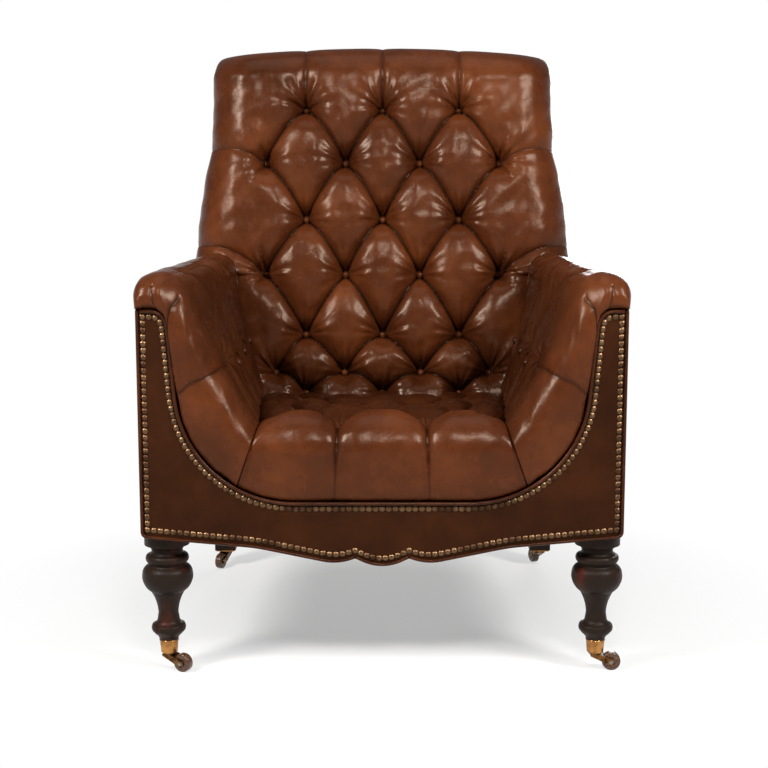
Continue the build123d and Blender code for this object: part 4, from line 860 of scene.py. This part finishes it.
def arm_surface(s):
    """right arm as a grid of points: along the arm, sections from the crease over the hollow and the
    ridge to the outer lip, then their roll on to the opening. Also the length along the section, the
    length along the arm, and the opening's rim"""
    count = int(ARM_GIRTH / s.step)
    rim = arm_rim(s, count)
    depth = np.arange(ARM_END, s.arm_roll, -s.step)
    share = climb(depth, start=0, run=0.59)
    outer = body_half(s, depth)
    crease_z = s.crease_height - CREASE_TUCK
    crease_x = crease_half(s, depth, crease_z)
    top_x = blend(SHOULDER_FRONT_X, SHOULDER_REAR_X, share)
    hollow = blend(HOLLOW_FRONT, HOLLOW_REAR, share)
    line = [(crease_x, crease_z + 0 * depth)]
    for t in HOLLOW_SHARES:
        bow = hollow * 4 * t * (1 - t)
        line.append((crease_x + (top_x - crease_x) * t + bow * HOLLOW_ACROSS_SHARE,
                     crease_z + (SHOULDER_Z - crease_z) * t - bow * HOLLOW_DOWN_SHARE))
    line.append((top_x, SHOULDER_Z + 0 * depth))
    line.append(((top_x + outer - RIDGE_INSET) / 2 + CAP_SHIFT, CAP_Z + 0 * depth))
    line.append((outer - RIDGE_INSET, s.arm_top + 0 * depth))
    line += [(outer + out, height + 0 * depth) for out, height in CAP_OUT]
    line.append((outer + LIP_OUT, s.arm_lip + 0 * depth))
    x, z = np.moveaxis(smooth_line(np.array(line), count), 1, 0)
    beside = np.clip(x - ARM_BESIDE_BACK_X, 0, ARM_BESIDE_BACK_REACH)
    y = np.minimum(depth[None, :], tuft_face(s, z) - ARM_BACK_GAP + beside)
    top = np.stack([x, y, z], axis=-1).transpose(1, 0, 2)
    first = top[-1]
    roll = front_roll(rim, first, s.arm_roll, s.arm_bulge, share_in=0.46,
                      turns=np.linspace(2, 90, 40), tucks=np.linspace(3, 90, 30), power=0.88)
    gaps = np.linalg.norm(np.diff(first[:, [0, 2]], axis=0), axis=1)
    along = np.concatenate([[0], np.cumsum(gaps)])
    return np.concatenate([top, roll]), along, run_length(depth, roll, s.arm_roll, s.step), rim


class CLUBCHAIR_OT_arm_pads(bpy.types.Operator):
    """Padded arms: smooth sections run back from a rounded front, pleated over the top. The left arm is
    the right one mirrored, with its faces turned"""
    bl_idname = "clubchair.arm_pads"
    bl_label = "Padded arms"

    def execute(self, context):
        s = context.scene.club_chair_sizes
        base, along, run, rim = arm_surface(s)
        u, v = np.meshgrid(along, run)
        buttons = [(ARM_BUTTON_UP, place) for place in ARM_BUTTON_PLACES]
        pleats = [[(ARM_BUTTON_UP, place, 0, place + turn, 1.0)]
                  for place in ARM_BUTTON_PLACES for turn in (-ARM_PLEAT_SPREAD, ARM_PLEAT_SPREAD)]
        for line, strength in ARM_FOLDS:
            pleats.append([(*p, *q, strength) for p, q in zip(line, line[1:])])
        sink, fold = tufting(u, v, pleats, buttons, gap=0.036, crown=0.008, pit=0.002, seed=21)
        sink = sink * np.maximum(climb(v, start=-0.11, run=0.04), ARM_LIP_SHARE)
        sink = sink + slack(u, v, seed=15, size=0.0016)
        sink = sink + slack(u, v, seed=16, size=0.0007, waves=ARM_FINE_WAVES)
        body = sink_along_normal(base, -sink)
        inside = [np.stack([np.minimum(rim[:, 0], ARM_INSIDE_X), place + 0 * rim[:, 1], rim[:, 1]], axis=-1)
                  for place in ARM_INSIDE_PLACES]
        points = np.concatenate([body, np.array(inside)]) + [0, FRONT, 0]

        # painted shade: the arm's inner face is darker behind its front roll, and the closing rows underneath
        # are fully dark
        hollow_shade = HOLLOW_SHADE_SHARE * climb(v, start=0.01, run=0.06) * climb(u, start=0.27, run=-0.07)
        fold = np.concatenate([np.maximum(fold, hollow_shade), np.ones((len(inside), len(along)))])
        flat, faces, values = closed_tube(points, fold)
        leather = aniline_leather("Aniline leather, arms", hide_tones(context), folds=True)
        for side, name in ((1, "right"), (-1, "left")):
            pad = make_piece("Padded_arm_" + name, flat * [side, 1, 1], faces, "chair",
                             ["arm_pad_" + name], {"fold": values}, flip=side > 0)
            finish_pad(pad, leather)
        return {"FINISHED"}


# Pieces that keep their CAD shape
class CLUBCHAIR_OT_covers(bpy.types.Operator):
    """Leather covers, piping and buttons: the frame's own pieces in waxed leather"""
    bl_idname = "clubchair.covers"
    bl_label = "Leather covers"

    def execute(self, context):
        c = context.scene.club_chair_colours
        tones = hide_tones(context)
        # painted shade: the covers take a darker copy of the hide's tones
        shaded_cover_tones = (c.cover_light, c.cover_mid, c.cover_cloud, c.hide_dark_and_fold_shade)
        cover = aniline_leather("Aniline leather, covers", shaded_cover_tones, polish=(0.42, 0.58), level=0.08,
                                coat=0.0)
        finish_nodes(["front_facing", "outside_arm_left", "outside_arm_right", "outside_back"], cover)
        trim = aniline_leather("Aniline leather, piping", tones[1:] + tones[-1:])
        finish_nodes(["opening_welt", "edge_welt"], trim)
        finish_nodes(["seat_buttons", "arm_buttons_left", "arm_buttons_right"], trim)
        finish_nodes(["back_buttons"], aniline_leather("Aniline leather, buttons", tones))
        return {"FINISHED"}


class CLUBCHAIR_OT_nails(bpy.types.Operator):
    """Decorative nails: stamped brass heads, antiqued in patches 22 mm across, so that they differ"""
    bl_idname = "clubchair.nails"
    bl_label = "Decorative nails"

    def execute(self, context):
        c = context.scene.club_chair_colours
        brass = old_metal("Antiqued brass", c.nail, c.nail_shadow, 0.34, 0.46, patch=22.2222)
        finish_nodes(["nails_opening", "nails_right", "nails_left", "nails_bottom"], brass)
        return {"FINISHED"}


class CLUBCHAIR_OT_frame(bpy.types.Operator):
    """Hidden timber frame and suspension in bare beech, jute, canvas and steel"""
    bl_idname = "clubchair.frame"
    bl_label = "Frame and springs"

    def execute(self, context):
        c = context.scene.club_chair_colours
        names = ["seat_rail_front", "seat_rail_rear", "seat_rail_left", "seat_rail_right", "corner_blocks"]
        names += ["arm_post_left", "arm_post_right", "arm_rail_left", "arm_rail_right"]
        names += ["crest_rail", "back_tacking_rail"]
        finish_nodes(names, bare_hardwood("Sawn beech", c.hardwood))
        finish_nodes(["back_webbing", "seat_webbing"], woven_cloth("Jute webbing", c.jute, thread=1.9635))
        finish_nodes(["spring_canvas", "dust_cover"], woven_cloth("Black cambric", c.canvas, thread=0.952))
        finish_nodes(["seat_springs"], old_metal("Coppered spring steel", c.steel, c.spring_shadow, 0.3, 0.5))
        return {"FINISHED"}


class CLUBCHAIR_OT_legs(bpy.types.Operator):
    """Turned front legs and raked rear legs in ebonised wood, rubbed through"""
    bl_idname = "clubchair.legs"
    bl_label = "Legs"

    def execute(self, context):
        c = context.scene.club_chair_colours
        finish_nodes(["front_leg_left", "front_leg_right", "rear_leg_left", "rear_leg_right"],
                     ebonised_wood("Ebonised wood", c.wood_black, c.wood_red))
        return {"FINISHED"}


class CLUBCHAIR_OT_casters(bpy.types.Operator):
    """Casters: turned brass cups and plates, cast horns, steel axles and composition wheels"""
    bl_idname = "clubchair.casters"
    bl_label = "Casters"

    def execute(self, context):
        c = context.scene.club_chair_colours
        corners = ("front_left", "front_right", "rear_left", "rear_right")
        cups = ["caster_cup_left", "caster_cup_right", "caster_plate_left", "caster_plate_right"]
        finish_nodes(cups, old_metal("Turned brass", c.brass, c.brass_shadow, 0.2, 0.32, patch=16.6667))
        finish_nodes(["caster_horn_" + k for k in corners],
                     old_metal("Cast bronze", c.bronze, c.bronze_shadow, 0.26, 0.45))
        finish_nodes(["plate_screws"] + ["caster_axle_" + k for k in corners],
                     old_metal("Plain steel", c.steel, c.steel_shadow, 0.28, 0.42))
        finish_nodes(["caster_wheel_" + k for k in corners], wheel_composition("Wheel composition", c.wheel))
        return {"FINISHED"}


# Studio, in metres
FLOOR_HALF = 9
FLOOR_FADE = [(0.25, 0.62), (0.85, 0.0)]  # share of matt floor by distance from the chair's middle
HORIZON_FADE = [(0.0, 1.0), (0.22, 0.12)]  # how white the mirrored studio is, by a ray's rise
WORLD_LIGHT = 0.07
LAMPS = [  # name, place and aim as (across, behind the front panel, up), width, height, watts
    ("Left_softbox", (-1.7, -1.15, 2.1), (0, 0.35, 0.6), 0.5, 0.9, 76),
    ("Right_softbox", (1.7, -1.15, 2.1), (0, 0.35, 0.6), 0.5, 0.9, 64),
    ("Front_softbox", (0.2, -1.9, 2.4), (0, 0.3, 0.6), 0.45, 0.4, 30),
    ("Rear_softbox", (0.9, 3.1, 0.95), (0, 0.8, 0.6), 1.0, 1.0, 24),
    ("Top_softbox", (0, 0.3, 3.0), (0, 0.3, 0.5), 1.6, 1.6, 8),
]
CAMERA_PLACE = (0.003, -2.246, 0.823)  # across, behind the front panel, up
CAMERA_PITCH = math.radians(8.41)  # below level
CAMERA_LENS, CAMERA_SENSOR = 66.56, 36  # millimetres


def maximum(tree, a, b):
    """the larger of two values"""
    return add_node(tree, "Math", {"operation": "MAXIMUM"}, {0: a, 1: b})


def pale_floor(tone):
    """Pale seamless studio floor: matt where the chair's shadow falls, and plain white further off for
    camera and mirrored rays, so that floor and backdrop run together"""
    made = bpy.data.materials.new("Pale floor")
    made.use_nodes = True
    tree = made.node_tree
    tree.nodes.clear()
    where = add_node(tree, "TexCoord").outputs["Object"]
    away = add_node(tree, "VectorMath", {"operation": "LENGTH"}, {0: where})
    near = add_node(tree, "ValToRGB", {"stops": FLOOR_FADE}, {0: away.outputs["Value"]})
    path = add_node(tree, "LightPath")
    seen = maximum(tree, path.outputs["Is Camera Ray"], path.outputs["Is Glossy Ray"])
    lit = add_node(tree, "Math", {"operation": "SUBTRACT", 0: 1.0}, {1: seen})
    share = maximum(tree, near, lit)
    matt = add_node(tree, "BsdfDiffuse", {"Color": colour(tone)})
    white = add_node(tree, "Emission", {"Color": WHITE, "Strength": 1.0})
    both = add_node(tree, "MixShader", links={0: share, 1: white, 2: matt})
    add_node(tree, "OutputMaterial", links={"Surface": both})
    return made


def studio_world():
    """White studio: plain white to the camera and through glass, white near the horizon and dim
    overhead in mirrored rays, and a low plain level of light on the chair"""
    world = bpy.data.worlds.new("Studio")
    world.use_nodes = True
    tree = world.node_tree
    tree.nodes.clear()
    path = add_node(tree, "LightPath")
    shown = maximum(tree, path.outputs["Is Camera Ray"], path.outputs["Is Transmission Ray"])
    direction = add_node(tree, "TexCoord").outputs["Generated"]
    way = add_node(tree, "SeparateXYZ", links={0: direction})
    level = add_node(tree, "ValToRGB", {"stops": HORIZON_FADE}, {0: way.outputs["Z"]})
    mirrored = add_node(tree, "Math", {"operation": "MULTIPLY"},
                        {0: path.outputs["Is Glossy Ray"], 1: level})
    seen = maximum(tree, shown, mirrored)
    plain = add_node(tree, "Background", {"Color": WHITE, "Strength": WORLD_LIGHT})
    white = add_node(tree, "Background", {"Color": WHITE, "Strength": 1.0})
    both = add_node(tree, "MixShader", links={0: seen, 1: plain, 2: white})
    add_node(tree, "OutputWorld", links={"Surface": both})
    return world


class CLUBCHAIR_OT_stage(bpy.types.Operator):
    """Pale studio floor, soft lamps and the camera"""
    bl_idname = "clubchair.stage"
    bl_label = "Studio"

    def execute(self, context):
        scene = context.scene
        corners = np.array([(-1, -1, 0), (1, -1, 0), (1, 1, 0), (-1, 1, 0)], float) * FLOOR_HALF
        floor = make_piece("Studio_floor", corners, [[0, 1, 2, 3]])
        floor.data.materials.append(pale_floor(scene.club_chair_colours.floor))
        scene.world = studio_world()
        front = Vector((0, FRONT, 0))
        for name, place, aim, wide, tall, power in LAMPS:
            light = bpy.data.lights.new(name, "AREA")
            light.shape = "RECTANGLE"
            light.size = wide
            light.size_y = tall
            light.energy = power
            lamp = bpy.data.objects.new(name, light)
            scene.collection.objects.link(lamp)
            lamp.location = front + Vector(place)
            lamp.rotation_euler = (Vector(aim) - Vector(place)).to_track_quat("-Z", "Y").to_euler()
        data = bpy.data.cameras.new("Camera")
        data.sensor_width = CAMERA_SENSOR
        data.lens = CAMERA_LENS
        camera = bpy.data.objects.new("Camera", data)
        scene.collection.objects.link(camera)
        camera.location = front + Vector(CAMERA_PLACE)
        camera.rotation_euler = (math.radians(90) - CAMERA_PITCH, 0, 0)
        scene.camera = camera
        scene.view_settings.view_transform = "Standard"
        return {"FINISHED"}


class CLUBCHAIR_PT_panel(bpy.types.Panel):
    """Sidebar panel that lists the chair's pieces"""
    bl_label = "Club Chair"
    bl_idname = "CLUBCHAIR_PT_panel"
    bl_space_type = "VIEW_3D"
    bl_region_type = "UI"
    bl_category = "Club Chair"

    def draw(self, context):
        for maker in MAKERS:
            self.layout.operator(maker.bl_idname)
        for group in (context.scene.club_chair_sizes, context.scene.club_chair_colours):
            for key in type(group).__annotations__:
                self.layout.prop(group, key)


MAKERS = (
    CLUBCHAIR_OT_stage,
    CLUBCHAIR_OT_back_pad,
    CLUBCHAIR_OT_seat_pad,
    CLUBCHAIR_OT_arm_pads,
    CLUBCHAIR_OT_covers,
    CLUBCHAIR_OT_nails,
    CLUBCHAIR_OT_frame,
    CLUBCHAIR_OT_legs,
    CLUBCHAIR_OT_casters,
)
CLASSES = (ClubChairSizes, ClubChairColours) + MAKERS + (CLUBCHAIR_PT_panel,)


def register():
    for kind in CLASSES:
        bpy.utils.register_class(kind)
    bpy.types.Scene.club_chair_sizes = PointerProperty(type=ClubChairSizes)
    bpy.types.Scene.club_chair_colours = PointerProperty(type=ClubChairColours)


def unregister():
    del bpy.types.Scene.club_chair_colours
    del bpy.types.Scene.club_chair_sizes
    for kind in reversed(CLASSES):
        bpy.utils.unregister_class(kind)


def main():
    register()
    bpy.ops.clubchair.stage()
    bpy.ops.clubchair.back_pad()
    bpy.ops.clubchair.seat_pad()
    bpy.ops.clubchair.arm_pads()
    bpy.ops.clubchair.covers()
    bpy.ops.clubchair.nails()
    bpy.ops.clubchair.frame()
    bpy.ops.clubchair.legs()
    bpy.ops.clubchair.casters()


if __name__ == "__main__":
    main()
